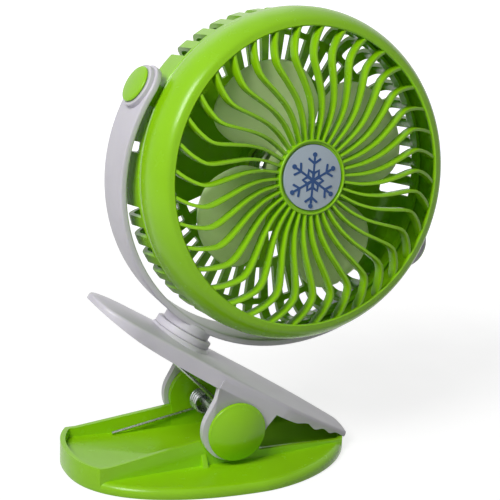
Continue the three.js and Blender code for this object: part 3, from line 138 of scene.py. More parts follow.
button = Sizes(radius=4.2, proud=1.3, flange=0.9, flange_thick=0.9, travel=0.8, edge=0.5, edge_deep=0.35)
dome = Sizes(radius=13.4, height=5.4, rim=1.2, turn=1.1, turn_high=0.77)
coil = Sizes(wire=1.3, radius=4.6, drop=1.2, pitch=1.85, end=18, arm=58, leg=42, bend=1.8, turns=4,
             turn_steps=28, leg_steps=9, bend_steps=8)

# Shares and angles of the outlines

EGG_HANDLE, EGG_TIP = 2.3, 1.81
EAR_FROM, EAR_TO = radians(-20), radians(200)
# The upper ears' corners: shares of the flare and of the jaw's side, and a radius
EAR_RIGHT = [(0, 0.4, 6), (0.4, 0.68, 3), (0.4, 0.86, 0)]
EAR_LEFT = [(1, 0.86, 0), (1, 0.66, 3), (0.2, 0.4, 6)]
HANDLE_BEND = 0.72
HANDLE_SHARES = [0.24, 0.36, 0.54, 0.72, 0.82, 0.9, 0.955, 1]
HANDLE_LOW = [0.64, 0.645, 0.66, 0.7, 0.75, 0.8, 0.84, 0.88]
TIP_TAPER = 1.35
TIP_SHARES = [0.28, 0.37, 0.45, 0.55, 0.65, 0.73, 0.825, 0.878, 1]
TIP_LOW = [0.71, 0.72, 0.74, 0.83, 0.77, 0.86, 0.825, 0.89, 0.875]
CREASE_SHARE = 0.4
COIL_SPARE = radians(15)
# The square of the least share of its width that the band's round end keeps
BLUNT = 0.0004
RING_OUT = [0.765, 0.92, 1, 1, 0.91, 0.7, 0.39, 0]
RING_UP = [0, 0.12, 0.26, 0.45, 0.63, 0.81, 0.95, 1]
BAR_RADII = [0.23, 0.37, 0.5, 0.64, 0.78, 0.88, 1]
BAR_TURNS = [0.5, 0, -3, -7.4, -10.2, -8, -3.2]
BAR_HEIGHTS = [1.07, 1.14, 1.22, 1.26, 1.225, 1.11, 0.93]
BAR_END = 1.012
WINDOW_SHARE = 0.5
WINDOW_ROWS = [(0.48, 0.68, 24), (0.74, 0.97, 48)]
# No slot within these degrees of this angle
SOLID_AT, SOLID_HALF = 241, 6
BLADE_SHARES = [0, 0.16, 0.42, 0.68, 0.86, 0.96, 1]
BLADE_SPREADS = [24, 31, 37, 33, 26, 16, 6]
BLADE_SWEEPS = [0, -1, -5, -8, -9, -9, -8]
# A blade's thickness at its edge, as a share, and how fast it grows from there
BLADE_EDGE, BLADE_SIDE_RISE, BLADE_TIP_RISE = 0.25, 12, 14
DISH = [(2.6, 0), (1.9, 0.3), (1.0, 0.42), (0, 0.45)]
THREADS = 9
THREAD_ROOT, THREAD_LOW, THREAD_HIGH = 0.78, 0.35, 0.8
HEAD_ROUND = 0.55
CROSS_LONG, CROSS_WIDE = 1.1, 0.3

# Shapes

# The sides of a large round, and the most of an edge that one rounded corner takes
ROUND = 96
CORNER_SHARE = 0.48


def put(name, data):
    """A new object in the scene."""
    obj = bpy.data.objects.new(name, data)
    bpy.context.scene.collection.objects.link(obj)
    return obj


def link(name, points, faces):
    mesh = bpy.data.meshes.new(name)
    mesh.from_pydata([tuple(p) for p in points], [], faces)
    mesh.update()
    return put(name, mesh)


def outward(obj):
    """Turns all faces out."""
    work = bmesh.new()
    work.from_mesh(obj.data)
    bmesh.ops.remove_doubles(work, verts=work.verts, dist=1e-4)
    bmesh.ops.recalc_face_normals(work, faces=work.faces)
    work.to_mesh(obj.data)
    work.free()
    return obj


def bake(obj):
    """Applies the modifiers."""
    graph = bpy.context.evaluated_depsgraph_get()
    mesh = bpy.data.meshes.new_from_object(obj.evaluated_get(graph))
    old = obj.data
    obj.modifiers.clear()
    obj.data = mesh
    bpy.data.meshes.remove(old)
    return obj


def together(objects):
    """One object from several, as separate shells."""
    first, rest = objects[0], objects[1:]
    points = [tuple(v.co) for v in first.data.vertices]
    faces = [tuple(p.vertices) for p in first.data.polygons]
    for other in rest:
        start = len(points)
        points += [tuple(v.co) for v in other.data.vertices]
        faces += [tuple(start + i for i in p.vertices) for p in other.data.polygons]
        bpy.data.objects.remove(other)
    name = first.name
    bpy.data.objects.remove(first)
    return link(name, points, faces)


def combine(operation, obj, *tools):
    for tool in tools:
        modifier = obj.modifiers.new("combine", "BOOLEAN")
        modifier.operation = operation
        modifier.solver = "EXACT"
        modifier.object = tool
        modifier.use_self = False
        bake(obj)
        bpy.data.objects.remove(tool)
    return obj


cut = partial(combine, "DIFFERENCE")
join = partial(combine, "UNION")
keep = partial(combine, "INTERSECT")


def rounded_edges(obj, width, segments=3, degrees=32):
    modifier = obj.modifiers.new("edges", "BEVEL")
    modifier.width = width
    modifier.segments = segments
    modifier.limit_method = "ANGLE"
    modifier.angle_limit = radians(degrees)
    modifier.miter_outer = "MITER_ARC"
    modifier.use_clamp_overlap = True
    return bake(obj)


def placed(obj, matrix):
    obj.data.transform(matrix)
    return obj


def spun(degrees, axis="Z"):
    return Matrix.Rotation(radians(degrees), 4, axis)


def shift(x, y, z):
    return Matrix.Translation((x, y, z))


def moved(obj, x, y, z):
    return placed(obj, shift(x, y, z))


def arc(start, end, steps):
    """The cosine and sine of angles at even steps, ends included."""
    angles = [start + (end - start) * k / steps for k in range(steps + 1)]
    return [(cos(a), sin(a)) for a in angles]


def filleted(corners, steps=5, closed=True):
    """An outline whose corners, given as (x, y, radius), are rounded off."""
    points = []
    count = len(corners)
    for i, (x, y, radius) in enumerate(corners):
        here = Vector((x, y))
        if radius <= 0 or (not closed and i in (0, count - 1)):
            points.append((x, y))
            continue
        before = Vector(corners[i - 1][:2]) - here
        after = Vector(corners[(i + 1) % count][:2]) - here
        angle = before.angle(after)
        reach = radius / math.tan(angle / 2)
        reach = min(reach, before.length * CORNER_SHARE, after.length * CORNER_SHARE)
        size = reach * math.tan(angle / 2)
        inward = (before.normalized() + after.normalized()).normalized()
        centre = here + inward * (size / sin(angle / 2))
        start = here + before.normalized() * reach - centre
        sweep = pi - angle
        turn = 1 if before.cross(after) < 0 else -1
        for k in range(steps + 1):
            a = turn * sweep * k / steps
            c, s = cos(a), sin(a)
            points.append((centre.x + start.x * c - start.y * s, centre.y + start.x * s + start.y * c))
    return points


def lathe(name, profile, sides=ROUND, closed=True):
    """Turned about Z from (radius, height) points. An open profile starts and ends on the axis."""
    points, rows = [], []
    for radius, height in profile:
        if radius < 1e-6:
            rows.append([len(points)] * sides)
            points.append((0, 0, height))
            continue
        rows.append(list(range(len(points), len(points) + sides)))
        for i in range(sides):
            a = 2 * pi * i / sides
            points.append((radius * cos(a), radius * sin(a), height))
    pairs = list(zip(rows, rows[1:])) + ([(rows[-1], rows[0])] if closed else [])
    faces = []
    for low, high in pairs:
        for i in range(sides):
            j = (i + 1) % sides
            face = [low[i], low[j], high[j], high[i]]
            face = [v for k, v in enumerate(face) if v != face[k - 1]]
            if len(face) > 2:
                faces.append(face)
    return outward(link(name, points, faces))


def turned(corners, sides=ROUND):
    """Turned about Z from a profile with rounded corners, which starts and ends on the axis."""
    return lathe("turned", filleted(corners, closed=False), sides, closed=False)


def rod(radius, start, end, sides=48):
    return lathe("rod", [(0, start), (radius, start), (radius, end), (0, end)], sides, closed=False)


def tube(outer, inner, start, end, sides=48):
    return lathe("tube", [(inner, start), (outer, start), (outer, end), (inner, end)], sides)


def loft(name, rings, caps=True):
    """A skin through rings of points."""
    count = len(rings[0])
    points = [p for r in rings for p in r]
    faces = []
    for r in range(len(rings) - 1):
        for i in range(count):
            j = (i + 1) % count
            faces.append((r * count + i, r * count + j, (r + 1) * count + j, (r + 1) * count + i))
    if caps:
        faces.append(tuple(range(count))[::-1])
        faces.append(tuple(range((len(rings) - 1) * count, len(rings) * count)))
    return outward(link(name, points, faces))


def prism(name, outline, start, end):
    return loft(name, [[(x, y, start) for x, y in outline], [(x, y, end) for x, y in outline]])


def side_prism(name, outline, start, end):
    """A flat outline of (x, z) points that runs through Y."""
    return loft(name, [[(x, start, z) for x, z in outline], [(x, end, z) for x, z in outline]])


def along_x(obj):
    return placed(obj, spun(90, "Y"))


def along_y(obj):
    return placed(obj, spun(-90, "X"))


def block(wide, deep, high, x, y, z):
    outline = [(-wide / 2, -deep / 2), (wide / 2, -deep / 2), (wide / 2, deep / 2), (-wide / 2, deep / 2)]
    return moved(prism("block", outline, -high / 2, high / 2), x, y, z)


def smooth_value(shares, values, share):
    """A smooth curve through a table, at one share."""
    if share <= shares[0]:
        return values[0]
    if share >= shares[-1]:
        return values[-1]
    i = max(k for k, s in enumerate(shares) if s <= share)
    i = min(i, len(shares) - 2)

    def slope(k):
        low, high = max(k - 1, 0), min(k + 1, len(shares) - 1)
        return (values[high] - values[low]) / (shares[high] - shares[low])

    step = shares[i + 1] - shares[i]
    t = (share - shares[i]) / step
    h00, h10 = 2 * t ** 3 - 3 * t ** 2 + 1, t ** 3 - 2 * t ** 2 + t
    h01, h11 = -2 * t ** 3 + 3 * t ** 2, t ** 3 - t ** 2
    return h00 * values[i] + h10 * step * slope(i) + h01 * values[i + 1] + h11 * step * slope(i + 1)


def swept(name, path, section):
    """A tube along a path of points, with a round section of that radius, closed at both ends."""
    rings = []
    circle = arc(0, 2 * pi, 12)[:-1]
    across = Vector((0, 1, 0))
    for i, place in enumerate(path):
        ahead = (path[min(i + 1, len(path) - 1)] - path[max(i - 1, 0)]).normalized()
        across = (across - ahead * across.dot(ahead)).normalized()
        up = ahead.cross(across)
        rings.append([place + across * (section * c) + up * (section * s) for c, s in circle])
    return loft(name, rings)


def both_sides(make):
    return make(), placed(make(), spun(180))


def finish(obj, name, body, material, *nodes, degrees=35):
    """Sets a piece into the row frame, hangs it on what it rides on, and hides the nodes it stands for."""
    obj.name = name
    obj.data.name = name
    placed(obj, HOMES[body])
    obj.data.polygons.foreach_set("use_smooth", [True] * len(obj.data.polygons))
    obj.data.set_sharp_from_angle(angle=radians(degrees))
    obj.data.materials.clear()
    obj.data.materials.append(material)
    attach(obj, body)
    if nodes:
        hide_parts(*nodes)


# Materials

# How fine each noise is: clouds in the colour, worn gloss, a mould's grain, and streaks in metal
CLOUDS, MILK_CLOUDS, WEAR, GRAIN = 42.0, 60.0, 180.0, 1100.0
STREAKS, FINE_STREAKS = 900.0, 3200.0
WEAR_SHARES = (0.93, 1.07)


def linear(red, green, blue):
    """A colour written as it looks on a screen, 0 to 255."""
    def one(value):
        value /= 255
        return value / 12.92 if value <= 0.04045 else ((value + 0.055) / 1.055) ** 2.4
    return (one(red), one(green), one(blue), 1.0)


def shader(name):
    material = bpy.data.materials.new(name)
    material.use_nodes = True
    tree = material.node_tree
    return material, tree, tree.nodes["Principled BSDF"]


def add(tree, kind):
    return tree.nodes.new("ShaderNode" + kind)


def set_inputs(node, values):
    for name, value in values.items():
        node.inputs[name].default_value = value


def noise(tree, scale, detail=3.0):
    place = add(tree, "TexCoord")
    node = add(tree, "TexNoise")
    set_inputs(node, {"Scale": scale, "Detail": detail})
    tree.links.new(place.outputs["Object"], node.inputs["Vector"])
    return node.outputs["Fac"]


def ramp(tree, value, low, high):
    """A colour or grey that follows a value between two ends."""
    node = add(tree, "ValToRGB")
    for element, position, colour in zip(node.color_ramp.elements, (0.3, 0.7), (low, high)):
        element.position = position
        element.color = colour
    tree.links.new(value, node.inputs["Fac"])
    return node.outputs["Color"]


def bump(tree, bsdf, value, height):
    node = add(tree, "Bump")
    set_inputs(node, {"Strength": 0.5, "Distance": height * MM})
    tree.links.new(value, node.inputs["Height"])
    tree.links.new(node.outputs["Normal"], bsdf.inputs["Normal"])


def grey(level):
    return (level, level, level, 1.0)


def tinted(colour, factor):
    return tuple(min(1.0, c * factor) for c in colour[:3]) + (1.0,)


def varied(tree, bsdf, colour, tints, clouds, roughness, shares, wear):
    """Colour and roughness that each follow a noise, between two shares of their plain value."""
    low, high = (tinted(colour, share) for share in tints)
    tree.links.new(ramp(tree, clouds, low, high), bsdf.inputs["Base Color"])
    low, high = (grey(roughness * share) for share in shares)
    tree.links.new(ramp(tree, wear, low, high), bsdf.inputs["Roughness"])


def moulded(name, colour, roughness, grain=0.004, soft=0.0, clear=0.0, shine=0.5):
    """Moulded plastic: colour and gloss vary a little, with the mould's fine grain in the surface."""
    material, tree, bsdf = shader(name)
    varied(tree, bsdf, colour, (0.96, 1.03), noise(tree, CLOUDS), roughness, WEAR_SHARES, noise(tree, WEAR))
    bump(tree, bsdf, noise(tree, GRAIN, 2.0), grain)
    set_inputs(bsdf, {
        "Specular IOR Level": shine, "Subsurface Weight": soft, "Subsurface Radius": (0.002, 0.002, 0.001),
        "Subsurface Scale": 1.0, "Coat Weight": clear, "Coat Roughness": 0.08,
    })
    return material


def metal(name, colour, roughness):
    """Drawn or turned metal, with fine streaks in its gloss."""
    material, tree, bsdf = shader(name)
    streaks = noise(tree, STREAKS, 8.0)
    varied(tree, bsdf, colour, (0.85, 1.08), streaks, roughness, (0.7, 1.3), streaks)
    bump(tree, bsdf, noise(tree, FINE_STREAKS, 2.0), 0.02)
    set_inputs(bsdf, {"Metallic": 1.0})
    return material


def translucent(name, colour, roughness, through):
    """Milky plastic that lets light through."""
    material, tree, bsdf = shader(name)
    varied(tree, bsdf, colour, (0.95, 1.05), noise(tree, MILK_CLOUDS), roughness, WEAR_SHARES,
           noise(tree, WEAR))
    bump(tree, bsdf, noise(tree, GRAIN, 2.0), 0.002)
    set_inputs(bsdf, {
        "Transmission Weight": through, "IOR": 1.45, "Subsurface Weight": 0.3,
        "Subsurface Radius": (0.002, 0.002, 0.002), "Subsurface Scale": 1.0,
    })
    return material


LIME = linear(146, 207, 12)
GREEN = moulded("green_gloss", LIME, 0.26, grain=0.002, soft=0.03, clear=0.08, shine=0.3)
GREEN_MATT = moulded("green_grained", LIME, 0.7, grain=0.01, shine=0.12)
WHITE = moulded("white_satin", linear(209, 206, 214), 0.36, grain=0.003, soft=0.1, shine=0.4)
NYLON = moulded("white_nylon", linear(228, 228, 222), 0.45)
BADGE = moulded("badge_face", linear(178, 193, 205), 0.3, grain=0.002, clear=0.2)
NAVY = moulded("navy_ink", linear(18, 70, 128), 0.35)
DARK = moulded("black_moulded", linear(34, 34, 36), 0.5)
FERRITE = moulded("ferrite", linear(52, 52, 54), 0.7, grain=0.03)
SLEEVE = moulded("cell_sleeve_blue", linear(52, 118, 170), 0.3)
RESIN = moulded("circuit_green", linear(24, 98, 52), 0.35)
STEEL = metal("zinc_steel", linear(192, 194, 196), 0.3)
BRASS = metal("sintered_brass", linear(196, 160, 92), 0.4)
COPPER = metal("copper_wound", linear(184, 112, 70), 0.4)
BLADE = translucent("milky_blade", linear(230, 250, 188), 0.35, 0.3)
LENS = translucent("clear_lens", linear(240, 242, 240), 0.1, 0.7)

# The clip

# A face whose normal rises more than this is level
LEVEL = 0.9


def egg(inset, height, steps=144):
    """The base's outline, drawn in by an inset, at a height."""
    points = []
    for i in range(steps):
        a = 2 * pi * (i + 0.5) / steps
        c, s = cos(a), sin(a)
        power = 2 / (EGG_HANDLE if c < 0 else EGG_TIP)
        full = base.handle + base.widest if c < 0 else base.tip - base.widest
        x = base.widest + math.copysign((full - inset) * abs(c) ** power, c)
        y = math.copysign((base.half - inset) * abs(s) ** power, s)
        points.append((x, y, height))
    return points


def flat(ring_points):
    return [(x, y) for x, y, _ in ring_points]


def base_wing():
    rings = [egg(base.foot_edge, 0), egg(CRISP, CRISP), egg(0, base.foot_edge)]
    rings += [egg(base.round * (1 - c), base.thick - base.round * (1 - s)) for c, s in arc(0, pi / 2, 8)]
    return loft("lower_jaw", rings)


def tub_plan(inset):
    half = [
        (-base.handle - OVER, base.tub_end), (-base.tub_corner, base.tub_end),
        (-base.ear_x, hinge.lower_outer), (base.ear_x, hinge.lower_outer),
        (base.tip + OVER, base.channel_tip),
    ]
    half = [(x, y - inset) for x, y in half]
    return half + [(x, -y) for x, y in reversed(half)]


def tub_walls():
    rim = [
        (-base.handle - OVER, 0), (base.tip + OVER, 0), (base.tip + OVER, base.channel_low),
        (base.ear_x, base.channel_ear), (-base.ear_x, base.rim_ear), (-base.tub_corner, base.rim_end),
        (-base.handle - OVER, base.rim_end),
    ]
    walls = prism("walls", flat(egg(0, 0)), base.thick - base.round, hinge.height)
    plan = prism("plan", tub_plan(0), 0, hinge.height + OVER)
    return keep(walls, plan, side_prism("rim", rim, -base.half - OVER, base.half + OVER))


def tub_inside(start, end):
    """What lies between the tub's walls."""
    return keep(prism("inside", flat(egg(base.wall, 0)), start, end),
                prism("plan", tub_plan(base.wall), start - OVER, end + OVER))


def tub_hollow():
    top = hinge.height * 2
    rise = base.handle_floor - base.floor
    above = filleted([
        (-base.handle, base.handle_floor, 0), (base.floor_step - rise, base.handle_floor, base.step_round),
        (base.floor_step, base.floor, base.step_round), (base.tip, base.floor, 0), (base.tip, top + OVER, 0),
        (-base.handle, top + OVER, 0),
    ])
    return keep(tub_inside(0, top), side_prism("above", above, -base.half, base.half))


def under_pockets():
    pockets = prism("pockets", flat(egg(base.rim, 0)), -OVER, base.under)
    cut(pockets, block(base.rib, base.half * 3, base.thick * 2, 0, 0, 0))
    top = base.handle_floor - (base.floor - base.under)
    reach = base.handle - base.rib / 2
    behind = block(reach, base.half * 2, top * 3, -(base.rib + reach) / 2, 0, 0)
    # It starts lower than the pockets, so that no two faces lie in one plane
    return join(pockets, keep(tub_inside(-OVER * 3 / 2, top), behind))


def lower_ear(inner, outer):
    radius = hinge.radius - GAP * 2
    outline = [(radius * c, hinge.height + radius * s) for c, s in arc(EAR_FROM, EAR_TO, 40)]
    foot = outline[0][0]
    outline += [(-foot, base.under), (foot, base.under)]
    return side_prism("ear", outline, inner, outer)


def gusset(side):
    wall, low = hinge.lower_outer - GAP, base.thick - GAP
    outline = [(wall, low), (wall + base.gusset, low), (wall, base.thick + base.gusset_rise)]
    rings = [[(along - base.ear_x, side * y, z) for y, z in outline]
             for along in (-base.gusset_thick / 2, base.gusset_thick / 2)]
    return loft("gusset", rings)


def pin_bore():
    return along_y(rod(hinge.pin + SHAFT_GAP, -hinge.bore_half, hinge.bore_half))


def lower_jaw():
    inner, outer = hinge.lower_outer - hinge.lower_ear, hinge.lower_outer
    body = cut(join(base_wing(), tub_walls()), tub_hollow())
    join(body, lower_ear(inner, outer), lower_ear(-outer, -inner), gusset(1), gusset(-1))
    cut(body, moved(pin_bore(), 0, 0, hinge.height), under_pockets())
    rounded_edges(body, base.soft)
    finish(body, "base_body", "clip_base", GREEN, "lower_jaw")
    body.data.materials.append(GREEN_MATT)
    for face in body.data.polygons:
        if face.normal.z > LEVEL and abs(face.center.z / MM - base.floor) < GAP:
            face.material_index = 1


def mirrored(path):
    return [Vector((p.x, -p.y, p.z)) for p in reversed(path)]


def spring():
    """Two coils round the pin, each with a leg on the tub's floor, and one arm under the handle."""
    centre = hinge.height - coil.drop
    middle = Vector((-coil.drop * SLOPE_X.z, -coil.drop * NECK_Z.z))
    far = Vector((-coil.arm, jaw.side - jaw.wall - GAP - coil.wire / 2))
    arm = far - middle
    arm_touch = math.atan2(arm.y, arm.x) - math.acos(coil.radius / arm.length)
    leg = Vector((-coil.leg, base.handle_floor + GAP + coil.wire / 2 - centre))
    leg_touch = math.atan2(leg.y, leg.x) + math.acos(coil.radius / leg.length)
    slope = math.atan2(SLOPE_X.z, SLOPE_X.x)
    swept_angle = arm_touch + slope - leg_touch + 2 * pi * coil.turns + COIL_SPARE
    inner = coil.end - swept_angle / (2 * pi) * coil.pitch
    start = Vector((cos(leg_touch), sin(leg_touch))) * coil.radius
    straight = [leg.lerp(start, k / coil.leg_steps) for k in range(coil.leg_steps)]
    side = [Vector((place.x, coil.end, centre + place.y)) for place in straight]
    steps = round(swept_angle / (2 * pi) * coil.turn_steps)
    for k in range(steps + 1):
        a = leg_touch + swept_angle * k / steps
        y = coil.end + (inner - coil.end) * k / steps
        side.append(Vector((coil.radius * cos(a), y, centre + coil.radius * sin(a))))
    coils = together([swept("coil", path, coil.wire / 2) for path in (side, mirrored(side))])
    finish(coils, "spring_wire", "clip_base", STEEL, "torsion_spring", degrees=60)

    touch = middle + Vector((cos(arm_touch), sin(arm_touch))) * coil.radius
    half = [Vector((touch.x, inner, touch.y))]
    corner = Vector((far.x, inner, far.y))
    back = (half[0] - corner).normalized()
    for k in range(coil.bend_steps + 1):
        t = k / coil.bend_steps
        half.append(corner + back * (coil.bend * (1 - t) ** 2) + Vector((0, -coil.bend * t * t, 0)))
    wire = swept("arm", half + mirrored(half), coil.wire / 2)
    finish(wire, "spring_arm", "upper_clip", STEEL, degrees=60)


def jaw_half(along):
    """Half the upper jaw's width at a place along it."""
    ear_end = hinge.radius + jaw.ear_flare
    if along >= 0:
        share = max(0, (along - ear_end) / (jaw.tip - ear_end))
        return hinge.upper_outer + (jaw.tip_half - hinge.upper_outer) * share ** TIP_TAPER
    bend = jaw.handle * HANDLE_BEND
    if -along <= bend:
        share = max(0, (-along - ear_end) / (bend - ear_end))
        return hinge.upper_outer + (jaw.handle_half - hinge.upper_outer) * share
    past = min(1, (-along - bend) / (jaw.handle - bend))
    return jaw.handle_half * math.sqrt(1 - past * past)


def jaw_low(along):
    """The height of the upper jaw's lower edge at a place along it."""
    if along < 0:
        return smooth_value(HANDLE_SHARES, HANDLE_LOW, -along / jaw.handle) * jaw.side
    return smooth_value(TIP_SHARES, TIP_LOW, along / jaw.tip) * jaw.side


def jaw_ring(along, half, crease, low, corner):
    """The jaw's section: two sides, soft creases and a crowned top."""
    crown = jaw.crown * min(1, half / jaw.handle_half)
    corner = min(corner, half * CREASE_SHARE)
    edge, spring_line = half - corner, crease - corner
    turns = [(edge + corner * c, spring_line + corner * s) for c, s in arc(0, pi / 2, 4)]
    points = [(-half, low)] + [(-y, z) for y, z in turns]
    for k in range(1, 12):
        t = -1 + 2 * k / 12
        points.append((edge * t, crease + crown * (1 - t * t)))
    points += turns[::-1] + [(half, low)]
    return [(along, y, z) for y, z in points]


def jaw_stations():
    bend = jaw.handle * HANDLE_BEND
    handle_end = [-jaw.handle + (jaw.handle - bend) * (1 - c) for c, _ in arc(0, pi / 2, 12)[:-1]]
    handle_end[0] += jaw.end_cut
    straight = [-bend + k * jaw.station for k in range(jaw.stations)]
    teeth = [jaw.teeth_from + k * jaw.tooth_station for k in range(jaw.tooth_stations)]
    return handle_end + straight + teeth + [jaw.tip]


def jaw_shell():
    outer = [jaw_ring(u, jaw_half(u), jaw.side, jaw_low(u), jaw.crease) for u in jaw_stations()]
    inner = []
    for u in jaw_stations():
        end = jaw.handle if u < 0 else jaw.tip
        drawn = u * (end - jaw.wall) / end
        half = max(jaw.end_half, jaw_half(drawn) - jaw.wall)
        inner.append(jaw_ring(drawn, half, jaw.side - jaw.wall, -jaw.side, jaw.crease / 2))
    return cut(loft("upper_jaw", outer), loft("hollow", inner))


def upper_ear(inner, outer):
    radius = hinge.radius
    outline = [(radius * c - jaw.ear_shift, radius * s, 0) for c, s in arc(pi, 2 * pi, 36)]
    for end, side, shape in ((radius, 1, EAR_RIGHT), (-radius, -1, EAR_LEFT)):
        outline += [(end - jaw.ear_shift + side * jaw.ear_flare * out, jaw.side * up, corner)
                    for out, up, corner in shape]
    return side_prism("ear", filleted(outline), inner, outer)


def upper_jaw():
    inner, outer = hinge.upper_inner, hinge.upper_outer
    seat = jaw.side - jaw.wall
    boss = turned([(0, seat, 0), (jaw.boss, seat, 0), (jaw.boss, jaw.side + jaw.boss_rise, SOFT),
                   (neck.collar, jaw.boss_top, EASED), (0, jaw.boss_top, 0)])
    moved(boss, neck.along, 0, 0)
    body = join(jaw_shell(), upper_ear(inner, outer), upper_ear(-outer, -inner), boss)
    cut(body, pin_bore(), moved(rod(neck.post + SHAFT_GAP, 0, jaw.boss_top + OVER), neck.along, 0, 0))
    rounded_edges(body, jaw.soft)
    finish(body, "clip_handle", "upper_clip", WHITE, "upper_jaw")


def dome_profile(radius, seat, rim, height):
    """A short straight side that turns softly into a shallow dome."""
    points = [(0, seat), (radius - EASED, seat), (radius, seat + EASED)]
    points += [(radius - dome.turn * (1 - c), seat + rim + dome.turn_high * s)
               for c, s in arc(0, pi / 2, 7)[:-1]]
    out, up = points[-1]
    for k in range(1, 19):
        share = k / 18
        points.append((out * (1 - share), up + (seat + height - up) * (1 - (1 - share) ** 2)))
    return points


def hinge_caps():
    for side, name in ((-1, "near"), (1, "far")):
        seat = hinge.upper_outer + GAP
        cap = along_y(lathe("cap", dome_profile(dome.radius, seat, dome.rim, dome.height), closed=False))
        if side < 0:
            placed(cap, spun(180, "X"))
        finish(cap, f"hinge_dome_{name}", "upper_clip", GREEN, f"hinge_cap_{name}")


def collar():
    low = jaw.boss_top + SEAM
    high = jaw.boss_top + neck.collar_thick + GAP * 2 - SEAM
    bore = neck.post + GAP
    shape = lathe("collar", filleted([(bore, low, CRISP), (neck.collar, low, EASED),
                                      (neck.collar, high, SOFT), (bore, high, CRISP)]))
    finish(moved(shape, neck.along, 0, 0), "neck_collar", "upper_clip", WHITE, "swivel_collar")


# The yoke


def yoke_band():
    half = yoke.width / 2
    inner = yoke.outer - yoke.thick
    past = math.degrees(half / (yoke.outer - yoke.thick / 2))
    ends = [s for _, s in arc(0, pi / 2, 14)]
    angles = [180 - past * end for end in reversed(ends)] + [180 + 180 * k / 90 for k in range(1, 90)]
    angles += [360 + past * end for end in ends]
    rings = []
    for degrees in angles:
        over = max(0, 180 - degrees, degrees - 360) / past
        wide = half * math.sqrt(max(BLUNT, 1 - over * over))
        a = radians(degrees)
        section = filleted([(inner, -wide, yoke.inner_round), (yoke.outer, -wide, yoke.outer_round),
                            (yoke.outer, wide, yoke.outer_round), (inner, wide, yoke.inner_round)], steps=4)
        rings.append([(r * cos(a), y, r * sin(a)) for r, y in section])
    return loft("yoke_band", rings)


def yoke_piece():
    inner, face = yoke.outer - yoke.thick, yoke.outer + yoke.pad_thick
    back = yoke.outer - yoke.thick / 2
    low = jaw.boss_top + neck.collar_thick + GAP * 2 - yoke.height
    high = low + neck.foot_thick
    pads = both_sides(lambda: along_x(turned([(0, back, 0), (yoke.pad, back, 0), (yoke.pad, face, SOFT),
                                              (0, face, 0)])))
    foot = turned([(0, low, 0), (neck.foot, low, neck.foot_edge), (neck.foot, high, neck.foot_round),
                   (0, high, 0)])
    post = rod(neck.post, jaw.side - jaw.wall - yoke.height, low + neck.foot_thick / 2)
    body = join(yoke_band(), *pads, foot, post)
    bores = both_sides(lambda: along_x(rod(pivot.pin + SHAFT_GAP, inner - OVER, face + OVER)))
    sinks = both_sides(lambda: along_x(rod(yoke.sink, face - yoke.sink_deep, face + OVER)))
    cut(body, *bores, *sinks)
    finish(body, "yoke_arc", "yoke_arm", WHITE, "yoke")


def pivot_caps():
    seat = yoke.outer + yoke.pad_thick + GAP
    profile = dome_profile(yoke.cap, seat, yoke.cap_rim, yoke.cap_thick)
    caps = both_sides(lambda: along_x(lathe("cap", profile, closed=False)))
    for cap, side in zip(caps, ("right", "left")):
        finish(cap, f"knob_{side}", "yoke_arm", GREEN, f"pivot_cap_{side}")


# The head


def around(radius, degrees, height):
    """A place at an angle that turns clockwise from the top, seen from the front."""
    a = radians(degrees)
    return Vector((radius * sin(a), radius * cos(a), height))


def ring_side(outer, depth, steps):
    """The ring's rounded side, from its rear edge to its front."""
    places = list(range(len(RING_OUT)))
    points = []
    for k in range(steps + 1):
        t = (len(RING_OUT) - 1) * k / steps
        out = min(1.0, smooth_value(places, RING_OUT, t))
        up = smooth_value(places, RING_UP, t)
        points.append((ring.lip + (outer - ring.lip) * out, GAP + (depth - GAP) * up))
    return points


def grille_ring():
    outer = ring_side(ring.outer, ring.depth, 42)
    inner = ring_side(ring.outer - ring.wall, ring.depth - ring.wall, 24)
    lip = [(ring.lip - ring.lip_edge, ring.depth - ring.lip_soft),
           (ring.lip - ring.lip_reach, ring.depth - ring.wall / 2),
           (ring.lip - ring.lip_edge, ring.depth - ring.wall + ring.lip_soft)]
    shape = lathe("ring", outer + lip + inner[::-1], ROUND * 2)
    notch = along_x(rod(pivot.boss + GAP, -ring.outer - OVER, ring.outer + OVER))
    cut(shape, moved(notch, 0, 0, -PIVOT_BEHIND))
    finish(shape, "grille_ring", "head", GREEN, "front_grille")


def grille_bar(turn, steps=22):
    path = []
    for k in range(steps + 1):
        share = BAR_RADII[0] + (BAR_END - BAR_RADII[0]) * k / steps
        degrees = turn + smooth_value(BAR_RADII, BAR_TURNS, share)
        height = smooth_value(BAR_RADII, BAR_HEIGHTS, share) * ring.depth
        path.append((share, around(share * bars.reach, degrees, height)))
    rings = []
    for k, (share, place) in enumerate(path):
        ahead = path[min(k + 1, steps)][1] - path[max(k - 1, 0)][1]
        aside = Vector((-ahead.y, ahead.x, 0)).normalized()
        half = (bars.hub_wide + (bars.rim_wide - bars.hub_wide) * share) / 2
        deep = bars.hub_deep + (bars.rim_deep - bars.hub_deep) * share
        section = filleted([(-half, 0, bars.front_round), (half, 0, bars.front_round), (half, -deep, EASED),
                            (-half, -deep, EASED)], steps=2)
        rings.append([place + aside * x + Vector((0, 0, z)) for x, z in section])
    return loft("bar", rings)


def grille_bars():
    shape = together([grille_bar(360 * i / bars.count) for i in range(bars.count)])
    finish(shape, "grille_bars", "head", GREEN)


def hub_plate():
    """The plate in the middle of the bars, with a groove round the badge's seat."""
    rim, seat = hub.badge + GAP, hub.front - hub.badge_thick - GAP
    back, sunk = hub.front - hub.thick, hub.front - hub.groove
    shape = turned([
        (0, back, 0), (hub.radius, back, SOFT), (hub.radius, hub.front, SOFT),
        (hub.seat, hub.front, hub.seat_round), (hub.seat, sunk, CRISP), (rim, sunk, hub.groove_round),
        (rim, seat, hub.groove_round), (0, seat, 0),
    ])
    finish(shape, "grille_hub", "head", GREEN)


